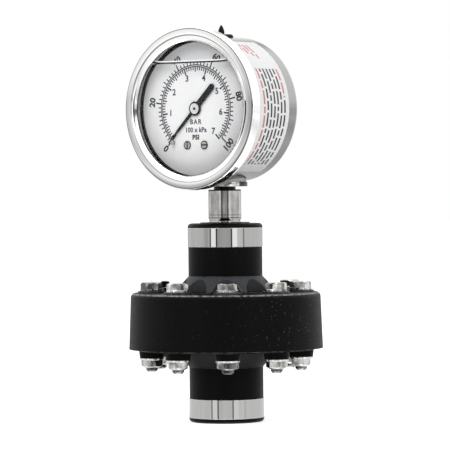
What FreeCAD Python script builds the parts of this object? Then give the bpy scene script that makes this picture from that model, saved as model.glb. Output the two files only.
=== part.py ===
import FreeCAD, Part
import Sketcher
import math
import os
import re

# Diaphragm seal pressure gauge, in millimetres.
# Origin: centre of the process port's mouth. +Z up along the stem, the dial faces -Y.

SIZES = {
    # moulded seal housings
    "neck_diameter": 31.5,
    "lip_height": 1.9,
    "lip_round": 1.6,
    "ring_height": 8.1,
    "ring_wall": 1.5,
    "ring_proud": 0.2,
    "ring_clearance": 0.02,
    "lower_neck_length": 13.3,
    "lower_cone_height": 7.3,
    "cone_base_radius": 22.0,
    "disc_drop": 0.6,
    "skirt_height": 23.9,
    "skirt_bottom_diameter": 82.5,
    "skirt_top_diameter": 80.8,
    "skirt_top_round": 2.0,
    "skirt_wall": 3.2,
    "skirt_clearance": 0.3,
    "disc_thickness": 11.6,
    "upper_cone_height": 6.9,
    "upper_neck_length": 12.4,
    "scallop_radius": 7.0,
    "scallop_circle_radius": 23.7,
    "process_bore_radius": 9.05,
    "process_bore_depth": 19.0,
    "process_passage_radius": 5.0,
    "stem_bore_depth": 13.5,
    "land_radius": 10.8,
    "land_height": 0.4,
    "stem_passage_radius": 2.5,
    "chamber_radius": 22.0,
    "chamber_floor_radius": 18.5,
    "chamber_depth": 2.6,
    "diaphragm_radius": 28.0,
    "diaphragm_thickness": 0.8,
    "convolution_radius": 14.5,
    "convolution_width": 5.0,
    "convolution_height": 1.0,
    # flange fasteners
    "bolt_count": 9,
    "first_bolt_angle": 268.6,
    "bolt_circle_radius": 32.1,
    "bolt_diameter": 5.0,
    "bolt_hole_clearance": 0.5,
    "hex_across_flats": 8.0,
    "hex_chamfer": 0.5,
    "head_height": 2.8,
    "head_face_ratio": 0.93,
    "head_turn": 0.0,
    "flat_washer_diameter": 11.4,
    "flat_washer_thickness": 0.9,
    "lock_washer_diameter": 9.4,
    "lock_washer_thickness": 0.9,
    "lock_washer_split": 0.8,
    "washer_clearance": 0.3,
    "boss_root_diameter": 10.9,
    "boss_tip_diameter": 10.2,
    "boss_height": 3.0,
    "nut_washer_diameter": 10.2,
    "nut_washer_thickness": 0.7,
    "nut_height": 3.4,
    "nut_face_ratio": 0.72,
    "nut_turn": 38.0,
    "thread_fit": 0.02,
    "bolt_end_length": 1.6,
    "bolt_end_chamfer": 0.7,
    # socket and stem
    "stem_square": 12.0,
    "stem_square_turn": -7.5,
    "stem_corner_diameter": 13.9,
    "stem_square_length": 13.4,
    "stem_chamfer": 1.2,
    "stem_gap": 0.9,
    "stem_thread_diameter": 13.3,
    "stem_thread_length": 13.0,
    "stem_thread_clearance": 0.05,
    "stem_bore_radius": 1.75,
    "cross_bore_radius": 1.0,
    "stem_groove_diameter": 9.4,
    "stem_groove_height": 1.3,
    "shank_diameter": 14.0,
    "collar_diameter": 19.4,
    "collar_height": 1.9,
    "collar_fit": 0.02,
    "seal_diameter": 18.4,
    "seal_height": 0.2,
    "shank_hole_clearance": 0.1,
    "block_width": 16.0,
    "block_front": 6.0,
    "block_back": 5.5,
    "block_top": 17.0,
    "block_clearance": 0.35,
    # gauge case
    "case_diameter": 61.4,
    "case_wall": 0.9,
    "case_back": 12.8,
    "case_back_round": 3.2,
    "case_rim_width": 2.7,
    "case_rim_thickness": 0.5,
    "bezel_wall": 0.9,
    "bezel_front": 24.9,
    "bezel_round": 1.7,
    "bezel_rim_width": 3.8,
    "bezel_step_depth": 0.45,
    "bezel_opening_inset": 1.1,
    "bezel_lip": 0.7,
    "bezel_dish": 0.9,
    "bezel_crimp": 0.5,
    "bezel_fit": 0.1,
    "window_thickness": 1.6,
    "gasket_thickness": 0.9,
    "gasket_inset": 0.6,
    "plug_offset": 1.3,
    "plug_hole_radius": 3.0,
    "plug_fit": 0.02,
    "plug_flange_diameter": 10.2,
    "plug_flange_height": 1.0,
    "plug_flange_overlap": 0.6,
    "plug_tail_length": 2.4,
    "nub_diameter": 2.7,
    "nub_height": 4.0,
    "nub_shoulder": 1.3,
    "nub_foot_radius": 0.95,
    "nub_round": 8.0,
    "nub_tip_radius": 0.25,
    # dial and pointer
    "dial_plane": 16.9,
    "dial_thickness": 0.6,
    "dial_edge_gap": 1.2,
    "dial_hole_radius": 1.8,
    "dial_screw_spread": 9.0,
    "dial_screw_drop": 15.3,
    "dial_screw_head": 3.6,
    "dial_screw_head_height": 0.5,
    "dial_screw_slot": 0.6,
    "dial_screw_slot_depth": 0.25,
    "dial_screw_diameter": 1.6,
    "dial_screw_end": 0.2,
    "dial_screw_fit": 0.02,
    "stop_pin_diameter": 1.8,
    "stop_pin_height": 2.2,
    "stop_pin_radius": 18.4,
    "stop_pin_gap": 0.1,
    "zero_angle": 135.0,
    "pointer_plane": 18.0,
    "pointer_thickness": 0.5,
    "pointer_length": 20.0,
    "pointer_root_width": 1.5,
    "pointer_step_radius": 13.5,
    "pointer_step_width": 1.2,
    "pointer_fine_width": 0.9,
    "pointer_tip_width": 0.5,
    "pointer_hub_diameter": 6.0,
    "pointer_hub_height": 0.7,
    "pointer_tail_length": 14.0,
    "pointer_tail_width": 2.7,
    "pointer_tail_chamfer": 0.9,
    "bush_diameter": 4.5,
    "bush_head_height": 0.5,
    "bush_sleeve_radius": 1.4,
    "bush_sleeve_length": 0.8,
    "bush_slot": 0.7,
    # movement
    "front_plate_plane": 13.2,
    "plate_thickness": 1.0,
    "plate_half_width": 4.2,
    "plate_foot_half_width": 7.3,
    "plate_top": 8.2,
    "plate_waist_ratio": 0.7,
    "front_plate_foot": 20.6,
    "rear_plate_foot": 24.6,
    "pillar_radius": 1.1,
    "pillar_top_height": 6.3,
    "pillar_spread": 9.0,
    "pillar_drop": 18.9,
    "standoff_radius": 2.0,
    "movement_screw_spread": 10.0,
    "movement_screw_drop": 22.2,
    "movement_screw_head": 3.2,
    "movement_screw_head_height": 1.2,
    "movement_screw_diameter": 1.8,
    "movement_screw_length": 1.5,
    "pivot_clearance": 0.03,
    "gear_module": 0.25,
    "pinion_teeth": 10,
    "sector_full_teeth": 100,
    "sector_teeth": 12,
    "sector_lead_teeth": 2,
    "tooth_half_pitch": 0.68,
    "tooth_half_tip": 0.34,
    "pinion_half_root": 0.6,
    "sector_half_root": 0.88,
    "tooth_addendum": 0.84,
    "tooth_dedendum": 1.16,
    "tooth_root_ratio": 1.3,
    "pinion_front": 10.6,
    "pinion_width": 1.6,
    "pinion_shaft_diameter": 1.2,
    "pinion_shaft_front": 18.8,
    "sector_front": 10.2,
    "sector_thickness": 0.8,
    "sector_hub_radius": 2.0,
    "sector_arbor_diameter": 1.6,
    "arbor_end_gap": 0.1,
    "tail_length": 7.0,
    "tail_angle": 20.0,
    "tail_eye_radius": 1.3,
    "tail_half_width": 0.9,
    "link_gap": 0.2,
    "link_thickness": 0.7,
    "link_length": 8.2,
    "link_angle": 40.0,
    "link_half_width": 1.2,
    "link_pin_diameter": 1.0,
    "link_pin_end": 0.1,
    "tube_radius": 21.0,
    "tube_width": 8.0,
    "tube_height": 3.0,
    "tube_wall": 0.4,
    "tube_tip_angle": 40.0,
    "tube_span": 296.0,
    "tube_slot_span": 14.0,
    "tube_fit": 0.03,
    "tip_length": 3.2,
    "tip_border": 0.6,
    "tip_ear_thickness": 1.0,
    "tip_ear_radius": 1.7,
    "collet_radius": 1.5,
    "collet_gap": 0.02,
    "hairspring_front": 8.6,
    "hairspring_width": 0.6,
    "hairspring_strip": 0.14,
    "hairspring_pitch": 0.5,
    "hairspring_turns": 4,
}

# Levels and radii worked out from the driving sizes.
# Seal levels are heights above the origin; gauge levels are measured from the gauge centre.
LEVELS = {
    "neck_radius": "neck_diameter / 2",
    "lip_radius": "neck_radius + ring_proud",
    "seat_radius": "lip_radius - ring_wall",
    "lower_ring_top": "lip_height + ring_height",
    "lower_cone_start": "lower_ring_top + lower_neck_length",
    "disc_bottom": "lower_cone_start + lower_cone_height",
    "skirt_bottom": "disc_bottom + disc_drop",
    "skirt_inner_radius": "skirt_bottom_diameter / 2 - skirt_wall",
    "disc_radius": "skirt_inner_radius - skirt_clearance",
    "parting": "disc_bottom + disc_thickness",
    "clamp_face": "parting + diaphragm_thickness",
    "flange_top": "skirt_bottom + skirt_height",
    "skirt_top_radius": "skirt_top_diameter / 2",
    "cone_top": "flange_top + upper_cone_height",
    "upper_ring_bottom": "cone_top + upper_neck_length",
    "upper_ring_top": "upper_ring_bottom + ring_height",
    "neck_top": "upper_ring_top + lip_height",
    "stem_thread_bore": "stem_thread_diameter / 2 + stem_thread_clearance",
    "drill_point": "0.577",
    "bolt_hole_radius": "(bolt_diameter + bolt_hole_clearance) / 2",
    "washer_hole_radius": "bolt_diameter / 2 + washer_clearance",
    "boss_bottom": "disc_bottom - boss_height",
    "lock_washer_bottom": "flange_top + flat_washer_thickness",
    "head_bottom": "lock_washer_bottom + lock_washer_thickness",
    "nut_top": "boss_bottom - nut_washer_thickness",
    "nut_bottom": "nut_top - nut_height",
    "bolt_end": "nut_bottom - bolt_end_length",
    "hex_corner_radius": "hex_across_flats / 2 / cos(30 deg)",
    "case_radius": "case_diameter / 2",
    "case_inner_radius": "case_radius - case_wall",
    "collar_top": "case_radius + seal_height",
    "collar_bottom": "collar_top + collar_height",
    "square_top": "collar_bottom + stem_groove_height",
    "square_bottom": "square_top + stem_square_length",
    "thread_end": "square_bottom + stem_thread_length",
    "gauge_centre": "neck_top + stem_gap + square_bottom",
    "shank_radius": "shank_diameter / 2",
    "seal_edge": "sqrt(case_radius^2 - (seal_diameter / 2)^2)",
    "shank_hole_radius": "shank_radius + shank_hole_clearance",
    "block_bottom": "sqrt(case_inner_radius^2 - (block_width / 2)^2) - block_clearance",
    "case_rim_radius": "case_radius + case_rim_width",
    "gasket_inner_radius": "case_inner_radius - gasket_inset",
    "bezel_opening_radius": "gasket_inner_radius - bezel_opening_inset",
    "window_front": "bezel_front - bezel_dish - bezel_lip",
    "window_back": "window_front - window_thickness",
    "window_radius": "case_rim_radius - bezel_fit",
    "gasket_back": "window_back - gasket_thickness",
    "rim_back": "gasket_back - case_rim_thickness",
    "bezel_back": "rim_back - bezel_crimp",
    "bezel_inner_radius": "case_rim_radius + bezel_fit",
    "bezel_radius": "bezel_inner_radius + bezel_wall",
    "bezel_step_radius": "bezel_radius - bezel_rim_width",
    "dial_radius": "case_inner_radius - dial_edge_gap",
    "dial_back": "dial_plane - dial_thickness",
    "front_plate_back": "front_plate_plane - plate_thickness",
    "rear_plate_front": "block_front + plate_thickness",
    "sector_back": "sector_front - sector_thickness",
    "link_front": "sector_back - link_gap",
    "link_back": "link_front - link_thickness",
    "ear_front": "link_back - link_gap",
    "ear_back": "ear_front - tip_ear_thickness",
    "pinion_pitch_radius": "gear_module * pinion_teeth / 2",
    "sector_pitch_radius": "gear_module * sector_full_teeth / 2",
    "gear_centres": "pinion_pitch_radius + sector_pitch_radius",
    "addendum": "gear_module * tooth_addendum",
    "dedendum": "gear_module * tooth_dedendum",
    "arbor_radius": "sector_arbor_diameter / 2",
    "arbor_front": "front_plate_plane - arbor_end_gap",
    "arbor_back": "block_front + arbor_end_gap",
    "pinion_shaft_radius": "pinion_shaft_diameter / 2",
    "link_pin_radius": "link_pin_diameter / 2",
    "tail_x": "tail_length * cos(tail_angle * 1 deg)",
    "tail_z": "-tail_length * sin(tail_angle * 1 deg)",
    "tip_x": "tail_x + link_length * cos(link_angle * 1 deg)",
    "tip_z": "tail_z - gear_centres + link_length * sin(link_angle * 1 deg)",
    "tip_reach": "sqrt(tip_x^2 + tip_z^2)",
    "tube_root_x": "tube_radius * cos((tube_span - tube_tip_angle) * 1 deg)",
    "tube_root_z": "tube_radius * sin((tube_span - tube_tip_angle) * 1 deg)",
    "stop_offset": "stop_pin_diameter / 2 + pointer_fine_width / 2 + stop_pin_gap",
}

doc = FreeCAD.newDocument("DiaphragmSealGauge")
sheet = doc.addObject("Spreadsheet::Sheet", "Sizes")
for row, (alias, number) in enumerate(SIZES.items(), start=1):
    sheet.set(f"A{row}", str(number))
    sheet.setAlias(f"A{row}", alias)
doc.recompute()


def bound(text):
    """Write a formula of size and level names as an expression on the sheet's cells."""

    def swap(match):
        word = match.group(0)
        if word in LEVELS:
            return "(" + bound(LEVELS[word]) + ")"
        if word in SIZES:
            return "Sizes." + word
        return word

    return re.sub(r"[A-Za-z_]\w*", swap, str(text))


def value(text):
    """The number that a formula has now."""
    return float(sheet.evalExpression(bound(text)))


def new_body(label, height="gauge_centre"):
    """A body whose own origin stands at a height on the stem's axis."""
    body = doc.addObject("PartDesign::Body", label)
    body.Label = label
    body.setExpression("Placement.Base.z", bound(height))
    return body


def swing(body, axis, angle):
    """Turn a body about one of its own axes by an angle in degrees."""
    place = body.Placement
    place.Rotation = FreeCAD.Rotation(axis, 90)
    body.Placement = place
    body.setExpression("Placement.Rotation.Angle", bound(angle))
    return body


def fastener_body(label):
    """A body drawn with its first bolt on +X and turned so that bolt stands at its own angle."""
    return swing(new_body(label, "0"), FreeCAD.Vector(0, 0, 1), "first_bolt_angle")


def origin_part(body, role):
    return [part for part in body.Origin.OriginFeatures if part.Role == role][0]


def new_sketch(body, name, role, offset):
    sketch = body.newObject("Sketcher::SketchObject", name)
    sketch.AttachmentSupport = [(origin_part(body, role), "")]
    sketch.MapMode = "FlatFace"
    sketch.setExpression("AttachmentOffset.Base.z", bound(offset))
    return sketch


def fix_size(sketch, kind, *where):
    """Add a driving constraint; the last argument is its formula."""
    formula = where[-1]
    index = sketch.addConstraint(Sketcher.Constraint(kind, *where[:-1], value(formula)))
    sketch.setExpression(f"Constraints[{index}]", bound(formula))


def arc_between(start, end, radius, turn):
    """The short arc of a radius from start to end, with its centre to the left for ccw."""
    chord = end.sub(start)
    rise = math.sqrt(max(radius**2 - chord.Length**2 / 4, 0.0))
    side = 1 if turn == "ccw" else -1
    normal = FreeCAD.Vector(-chord.y, chord.x, 0).normalize()
    centre = start.add(end).multiply(0.5).add(normal.multiply(side * rise))
    circle = Part.Circle(centre, FreeCAD.Vector(0, 0, 1), radius)
    first, last = (start, end) if turn == "ccw" else (end, start)
    return Part.ArcOfCircle(circle, circle.parameter(first), circle.parameter(last))


def draw_loop(sketch, corners):
    """Draw a closed loop. A corner is (x, y), or (x, y, radius, turn) where an arc arrives."""
    points = [FreeCAD.Vector(value(corner[0]), value(corner[1]), 0) for corner in corners]
    ends = []
    for number, corner in enumerate(corners):
        start, end = points[number - 1], points[number]
        if len(corner) == 4:
            curve = sketch.addGeometry(arc_between(start, end, value(corner[2]), corner[3]))
            fix_size(sketch, "Radius", curve, corner[2])
            ends.append((curve, 1, 2) if corner[3] == "ccw" else (curve, 2, 1))
        else:
            ends.append((sketch.addGeometry(Part.LineSegment(start, end)), 1, 2))
    for number, corner in enumerate(corners):
        curve, _, tail = ends[number]
        following, head, _ = ends[(number + 1) % len(corners)]
        sketch.addConstraint(Sketcher.Constraint("Coincident", curve, tail, following, head))
        fix_size(sketch, "DistanceX", -1, 1, curve, tail, corner[0])
        fix_size(sketch, "DistanceY", -1, 1, curve, tail, corner[1])


def draw_circle(sketch, x, y, radius):
    centre = FreeCAD.Vector(value(x), value(y), 0)
    circle = sketch.addGeometry(Part.Circle(centre, FreeCAD.Vector(0, 0, 1), value(radius)))
    fix_size(sketch, "Radius", circle, radius)
    fix_size(sketch, "DistanceX", -1, 1, circle, 3, x)
    fix_size(sketch, "DistanceY", -1, 1, circle, 3, y)


def finish_feature(body, feature):
    body.Tip = feature
    doc.recompute()
    return feature


def turn(body, name, corners, role="XZ_Plane", angle="360", reverse=False, inner=None):
    """Revolve a profile about the sketch's upright axis."""
    sketch = new_sketch(body, name + "_profile", role, "0")
    draw_loop(sketch, corners)
    if inner:
        draw_loop(sketch, inner)
    feature = body.newObject("PartDesign::Revolution", name)
    feature.Profile = sketch
    feature.ReferenceAxis = (sketch, ["V_Axis"])
    feature.setExpression("Angle", bound(angle))
    feature.Reversed = reverse
    return finish_feature(body, feature)


def raise_shape(body, name, role, offset, length, loops=(), circles=(), reverse=False, taper=None):
    """Pad closed loops and circles along the sketch's normal."""
    sketch = new_sketch(body, name + "_outline", role, offset)
    for loop in loops:
        draw_loop(sketch, loop)
    for circle in circles:
        draw_circle(sketch, *circle)
    feature = body.newObject("PartDesign::Pad", name)
    feature.Profile = sketch
    feature.setExpression("Length", bound(length))
    feature.Reversed = reverse
    if taper:
        feature.setExpression("TaperAngle", bound(taper))
    return finish_feature(body, feature)


def cut_shape(body, name, role, offset, length, loops=(), circles=(), reverse=False, both=False):
    """Pocket closed loops and circles; no length cuts through all."""
    sketch = new_sketch(body, name + "_outline", role, offset)
    for loop in loops:
        draw_loop(sketch, loop)
    for circle in circles:
        draw_circle(sketch, *circle)
    before = body.Shape.Volume
    feature = body.newObject("PartDesign::Pocket", name)
    feature.Profile = sketch
    feature.Midplane = both
    feature.Reversed = reverse
    if length:
        feature.setExpression("Length", bound(length))
    else:
        feature.Type = "ThroughAll"
    finish_feature(body, feature)
    if body.Shape.Volume >= before:
        raise RuntimeError(f"{body.Label}: {name} cuts nothing")
    return feature


def repeat_round(body, name, features, count, axis="Z_Axis", angle="360"):
    pattern = body.newObject("PartDesign::PolarPattern", name)
    pattern.Originals = features
    pattern.Axis = (origin_part(body, axis), [""])
    pattern.setExpression("Angle", bound(angle))
    pattern.setExpression("Occurrences", bound(count))
    return finish_feature(body, pattern)


def front_plate_shape(body, name, front, thickness, loops=(), circles=()):
    """Pad a flat piece of the gauge from its back face forward to its front face."""
    back = f"{front} - ({thickness})"
    return raise_shape(body, name, "XZ_Plane", back, thickness, loops, circles)


def rectangle(low_x, low_y, high_x, high_y):
    return [(low_x, low_y), (high_x, low_y), (high_x, high_y), (low_x, high_y)]


def turned_square(side, angle):
    """Corners of a square about the axis, turned by an angle in degrees."""
    return [(f"{side} / sqrt(2) * cos(({angle} + {corner}) * 1 deg)",
             f"{side} / sqrt(2) * sin(({angle} + {corner}) * 1 deg)") for corner in (45, 135, 225, 315)]


# Moulded seal housings

def lower_neck():
    """Neck of the lower housing, up to the crease where its cone starts."""
    body = new_body("lower_neck", "0")
    passage_start = "process_bore_depth + (process_bore_radius - process_passage_radius) * drill_point"
    turn(body, "moulding", [
        ("process_bore_radius", "0"),
        ("lip_radius - lip_round", "0"),
        ("lip_radius", "lip_round", "lip_round", "ccw"),
        ("lip_radius", "lip_height"),
        ("seat_radius", "lip_height"),
        ("seat_radius", "lower_ring_top"),
        ("neck_radius", "lower_ring_top"),
        ("neck_radius", "lower_cone_start"),
        ("process_passage_radius", "lower_cone_start"),
        ("process_passage_radius", passage_start),
        ("process_bore_radius", "process_bore_depth"),
    ])
    return body


def lower_housing():
    body = fastener_body("lower_housing")
    turn(body, "moulding", [
        ("process_passage_radius", "lower_cone_start"),
        ("neck_radius", "lower_cone_start"),
        ("cone_base_radius", "disc_bottom"),
        ("disc_radius", "disc_bottom"),
        ("disc_radius", "parting"),
        ("chamber_radius", "parting"),
        ("chamber_floor_radius", "parting - chamber_depth"),
        ("process_passage_radius", "parting - chamber_depth"),
    ])
    slope = "-atan((boss_root_diameter - boss_tip_diameter) / 2 / boss_height)"
    boss = raise_shape(body, "nut_boss", "XY_Plane", "disc_bottom", "boss_height",
                       circles=[("bolt_circle_radius", "0", "boss_root_diameter / 2")],
                       reverse=True, taper=slope)
    hole = cut_shape(body, "bolt_hole", "XY_Plane", "parting", None,
                     circles=[("bolt_circle_radius", "0", "bolt_hole_radius")])
    repeat_round(body, "bosses", [boss, hole], "bolt_count")
    return body


def upper_housing():
    body = fastener_body("upper_housing")
    bore_end = "neck_top - stem_bore_depth"
    turn(body, "moulding", [
        ("stem_passage_radius", "clamp_face + chamber_depth"),
        ("chamber_floor_radius", "clamp_face + chamber_depth"),
        ("chamber_radius", "clamp_face"),
        ("skirt_inner_radius", "clamp_face"),
        ("skirt_inner_radius", "skirt_bottom"),
        ("skirt_bottom_diameter / 2", "skirt_bottom"),
        ("skirt_top_radius", "flange_top - skirt_top_round"),
        ("skirt_top_radius - skirt_top_round", "flange_top", "skirt_top_round", "ccw"),
        ("cone_base_radius", "flange_top"),
        ("neck_radius", "cone_top"),
        ("neck_radius", "upper_ring_bottom"),
        ("seat_radius", "upper_ring_bottom"),
        ("seat_radius", "upper_ring_top"),
        ("lip_radius", "upper_ring_top"),
        ("lip_radius", "neck_top - lip_round"),
        ("lip_radius - lip_round", "neck_top", "lip_round", "ccw"),
        ("land_radius", "neck_top"),
        ("land_radius - land_height", "neck_top + land_height"),
        ("stem_thread_bore", "neck_top + land_height"),
        ("stem_thread_bore", bore_end),
        ("stem_passage_radius", f"{bore_end} - (stem_thread_bore - stem_passage_radius) * drill_point"),
    ])
    scallop = cut_shape(body, "scallop", "XY_Plane", "flange_top", "upper_cone_height",
                        circles=[("scallop_circle_radius", "0", "scallop_radius")], reverse=True)
    hole = cut_shape(body, "bolt_hole", "XY_Plane", "flange_top", None,
                     circles=[("bolt_circle_radius", "0", "bolt_hole_radius")])
    repeat_round(body, "scallops_and_holes", [scallop, hole], "bolt_count")
    return body


def diaphragm():
    body = new_body("diaphragm", "parting")
    steps = [
        ("0", "0"),
        ("convolution_radius - convolution_width / 2", "0"),
        ("convolution_radius - convolution_width / 4", "convolution_height"),
        ("convolution_radius + convolution_width / 4", "convolution_height"),
        ("convolution_radius + convolution_width / 2", "0"),
        ("diaphragm_radius", "0"),
    ]
    upper = [(x, f"{z} + diaphragm_thickness") for x, z in reversed(steps)]
    turn(body, "membrane", steps + upper)
    return body


def neck_ring(label, bottom):
    body = new_body(label, bottom)
    turn(body, "band", rectangle("seat_radius + ring_clearance", "ring_clearance",
                                 "lip_radius", "ring_height - ring_clearance"))
    return body


# Flange fasteners, one group of nine in each node

def hexagon(turned):
    """Corners of a hexagon on the bolt circle, turned from one corner towards the flange's edge."""
    return [(f"bolt_circle_radius + hex_corner_radius * cos(({turned} + {angle}) * 1 deg)",
             f"hex_corner_radius * sin(({turned} + {angle}) * 1 deg)") for angle in range(0, 360, 60)]


def chamfer_hex(body, name, height, face_ratio, rising):
    """Turn off the corners of a hexagon's end face at 30 degrees, outside a round face."""
    sketch = new_sketch(body, name + "_profile", "XZ_Plane", "0")
    reach = f"hex_across_flats / 2 * {face_ratio}"
    fall = f"(hex_corner_radius + hex_chamfer - {reach}) * tan(30 deg)"
    outer = "bolt_circle_radius + hex_corner_radius + hex_chamfer"
    beyond = f"{height} + hex_chamfer" if rising else f"{height} - hex_chamfer"
    low = f"{height} - {fall}" if rising else f"{height} + {fall}"
    draw_loop(sketch, [(f"bolt_circle_radius + {reach}", height), (outer, low), (outer, beyond),
                       (f"bolt_circle_radius + {reach}", beyond)])
    axis_x = value("bolt_circle_radius")
    line = Part.LineSegment(FreeCAD.Vector(axis_x, 0, 0), FreeCAD.Vector(axis_x, 1, 0))
    axis = sketch.addGeometry(line, True)
    sketch.addConstraint(Sketcher.Constraint("Vertical", axis))
    fix_size(sketch, "DistanceX", -1, 1, axis, 1, "bolt_circle_radius")
    feature = body.newObject("PartDesign::Groove", name)
    feature.Profile = sketch
    feature.ReferenceAxis = (sketch, ["Axis0"])
    feature.Angle = 360
    return finish_feature(body, feature)


def flange_bolts():
    body = fastener_body("flange_bolts")
    head = raise_shape(body, "head", "XY_Plane", "head_bottom", "head_height", loops=[hexagon("head_turn")])
    edge = chamfer_hex(body, "head_chamfer", "head_bottom + head_height", "head_face_ratio", rising=True)
    shank_end = "bolt_end + bolt_end_chamfer"
    circle = ("bolt_circle_radius", "0", "bolt_diameter / 2")
    shank = raise_shape(body, "shank", "XY_Plane", "head_bottom", f"head_bottom - ({shank_end})",
                        circles=[circle], reverse=True)
    tip = raise_shape(body, "tip", "XY_Plane", shank_end, "bolt_end_chamfer",
                      circles=[circle], reverse=True, taper="-45")
    repeat_round(body, "bolts", [head, edge, shank, tip], "bolt_count")
    return body


def flange_nuts():
    body = fastener_body("flange_nuts")
    nut = raise_shape(body, "nut", "XY_Plane", "nut_bottom", "nut_height", loops=[hexagon("nut_turn")],
                      circles=[("bolt_circle_radius", "0", "bolt_diameter / 2 + thread_fit")])
    edge = chamfer_hex(body, "nut_chamfer", "nut_bottom", "nut_face_ratio", rising=False)
    repeat_round(body, "nuts", [nut, edge], "bolt_count")
    return body


def washers(label, bottom, diameter, thickness, split=None):
    """A ring on each bolt, cut through on one side if it is a split spring washer."""
    body = fastener_body(label)
    steps = [raise_shape(body, "washer", "XY_Plane", bottom, thickness,
                         circles=[("bolt_circle_radius", "0", f"{diameter} / 2"),
                                  ("bolt_circle_radius", "0", "washer_hole_radius")])]
    if split:
        half = f"{split} / 2"
        steps.append(cut_shape(body, "split", "XY_Plane", f"{bottom} + {thickness}", thickness, loops=[
            rectangle(f"bolt_circle_radius - {half}", "0", f"bolt_circle_radius + {half}", diameter)]))
    repeat_round(body, "washers", steps, "bolt_count")
    return body


# Socket, stem and case of the gauge

def tube_section(grow):
    """Flat oval of the bourdon tube on the XY plane, grown by an allowance all round."""
    half = "(tube_width - tube_height) / 2"
    radius = f"(tube_height / 2 + {grow})"
    return [
        (f"tube_radius + {radius}", f"-{half}"),
        (f"tube_radius + {radius}", half),
        ("tube_radius", f"{half} + {radius}", radius, "ccw"),
        (f"tube_radius - {radius}", half, radius, "ccw"),
        (f"tube_radius - {radius}", f"-{half}"),
        ("tube_radius", f"-{half} - {radius}", radius, "ccw"),
        (f"tube_radius + {radius}", f"-{half}", radius, "ccw"),
    ][1:]


def socket_blank():
    body = new_body("socket_blank")
    bore_top = "tube_root_z + cross_bore_radius"
    turn(body, "turning", [
        ("stem_bore_radius", "-thread_end"),
        ("stem_thread_diameter / 2", "-thread_end"),
        ("stem_thread_diameter / 2", "-square_bottom"),
        ("stem_corner_diameter / 2 - stem_chamfer / 2", "-square_bottom"),
        ("stem_corner_diameter / 2", "-square_bottom + stem_chamfer"),
        ("stem_corner_diameter / 2", "-square_top"),
        ("stem_groove_diameter / 2", "-square_top"),
        ("stem_groove_diameter / 2", "-collar_bottom"),
        ("shank_radius", "-collar_bottom"),
        ("shank_radius", "-block_bottom"),
        ("stem_bore_radius", "-block_bottom"),
    ])
    cut_shape(body, "wrench_flats", "XY_Plane", "-square_top", "stem_square_length",
              loops=[turned_square("stem_square", "stem_square_turn")],
              circles=[("0", "0", "stem_corner_diameter")])
    raise_shape(body, "block", "XY_Plane", "-block_bottom", "block_bottom - block_top",
                loops=[rectangle("-block_width / 2", "-block_front", "block_width / 2", "block_back")])
    cut_shape(body, "pressure_bore", "XY_Plane", "-collar_bottom", f"{bore_top} + collar_bottom",
              circles=[("0", "0", "stem_bore_radius")], reverse=True)
    cut_shape(body, "cross_bore", "YZ_Plane", "0", "-tube_root_x",
              circles=[("0", "tube_root_z", "cross_bore_radius")])
    cut_shape(body, "screw_holes", "XZ_Plane", "block_front", "movement_screw_length",
              circles=[("movement_screw_spread / 2", "-movement_screw_drop", "movement_screw_diameter / 2"),
                       ("-movement_screw_spread / 2", "-movement_screw_drop",
                        "movement_screw_diameter / 2")])
    return body


def gauge_socket():
    """The socket, with a slot in its block for the root of the bourdon tube."""
    slot = new_body("tube_slot")
    turn(slot, "slot", tube_section("tube_fit"), "XY_Plane", "tube_slot_span")
    cut = doc.addObject("Part::Cut", "gauge_socket")
    cut.Base = socket_blank()
    cut.Tool = swing(slot, FreeCAD.Vector(0, 1, 0), "360 + tube_tip_angle - tube_span")
    return cut


def stem_collar():
    body = new_body("stem_collar")
    turn(body, "collar", [
        ("shank_radius + collar_fit", "-collar_bottom"),
        ("collar_diameter / 2", "-collar_bottom"),
        ("collar_diameter / 2", "-collar_top"),
        ("shank_radius + collar_fit", "-collar_top"),
    ])
    return body


def stem_seal():
    body = new_body("stem_seal")
    raise_shape(body, "ring", "XY_Plane", "-collar_top", "collar_top - seal_edge",
                circles=[("0", "0", "seal_diameter / 2"), ("0", "0", "shank_hole_radius")])
    cut_shape(body, "saddle", "XZ_Plane", "0", None, circles=[("0", "0", "case_radius")], both=True)
    return body


def case_shell():
    body = new_body("case_shell")
    inner_round = "case_back_round - case_wall"
    turn(body, "drawing", [
        ("0", "case_back - case_wall"),
        ("case_radius - case_back_round", "case_back - case_wall"),
        ("case_inner_radius", "case_back - case_back_round", inner_round, "cw"),
        ("case_inner_radius", "-gasket_back"),
        ("case_rim_radius", "-gasket_back"),
        ("case_rim_radius", "-rim_back"),
        ("case_radius", "-rim_back"),
        ("case_radius", "case_back - case_back_round"),
        ("case_radius - case_back_round", "case_back", "case_back_round", "ccw"),
        ("0", "case_back"),
    ], "XY_Plane")
    cut_shape(body, "stem_hole", "XY_Plane", "0", None, circles=[("0", "0", "shank_hole_radius")])
    cut_shape(body, "fill_hole", "XY_Plane", "0", None,
              circles=[("0", "-plug_offset", "plug_hole_radius")], reverse=True)
    return body


def bezel():
    body = new_body("bezel")
    step = "-bezel_front + bezel_step_depth"
    turn(body, "rolling", [
        ("bezel_opening_radius", "-window_front"),
        ("bezel_inner_radius", "-window_front"),
        ("bezel_inner_radius", "-rim_back"),
        ("case_radius + bezel_fit", "-rim_back"),
        ("case_radius + bezel_fit", "-bezel_back"),
        ("bezel_radius - bezel_crimp", "-bezel_back"),
        ("bezel_radius", "-bezel_back - bezel_crimp", "bezel_crimp", "cw"),
        ("bezel_radius", "-bezel_front + bezel_round"),
        ("bezel_radius - bezel_round", "-bezel_front", "bezel_round", "cw"),
        ("bezel_step_radius + bezel_step_depth", "-bezel_front"),
        ("bezel_step_radius", step),
        ("bezel_opening_radius + bezel_lip", f"{step} + bezel_dish - bezel_step_depth"),
        ("bezel_opening_radius", f"{step} + bezel_dish - bezel_step_depth + bezel_lip / 2"),
    ], "XY_Plane")
    return body


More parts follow.
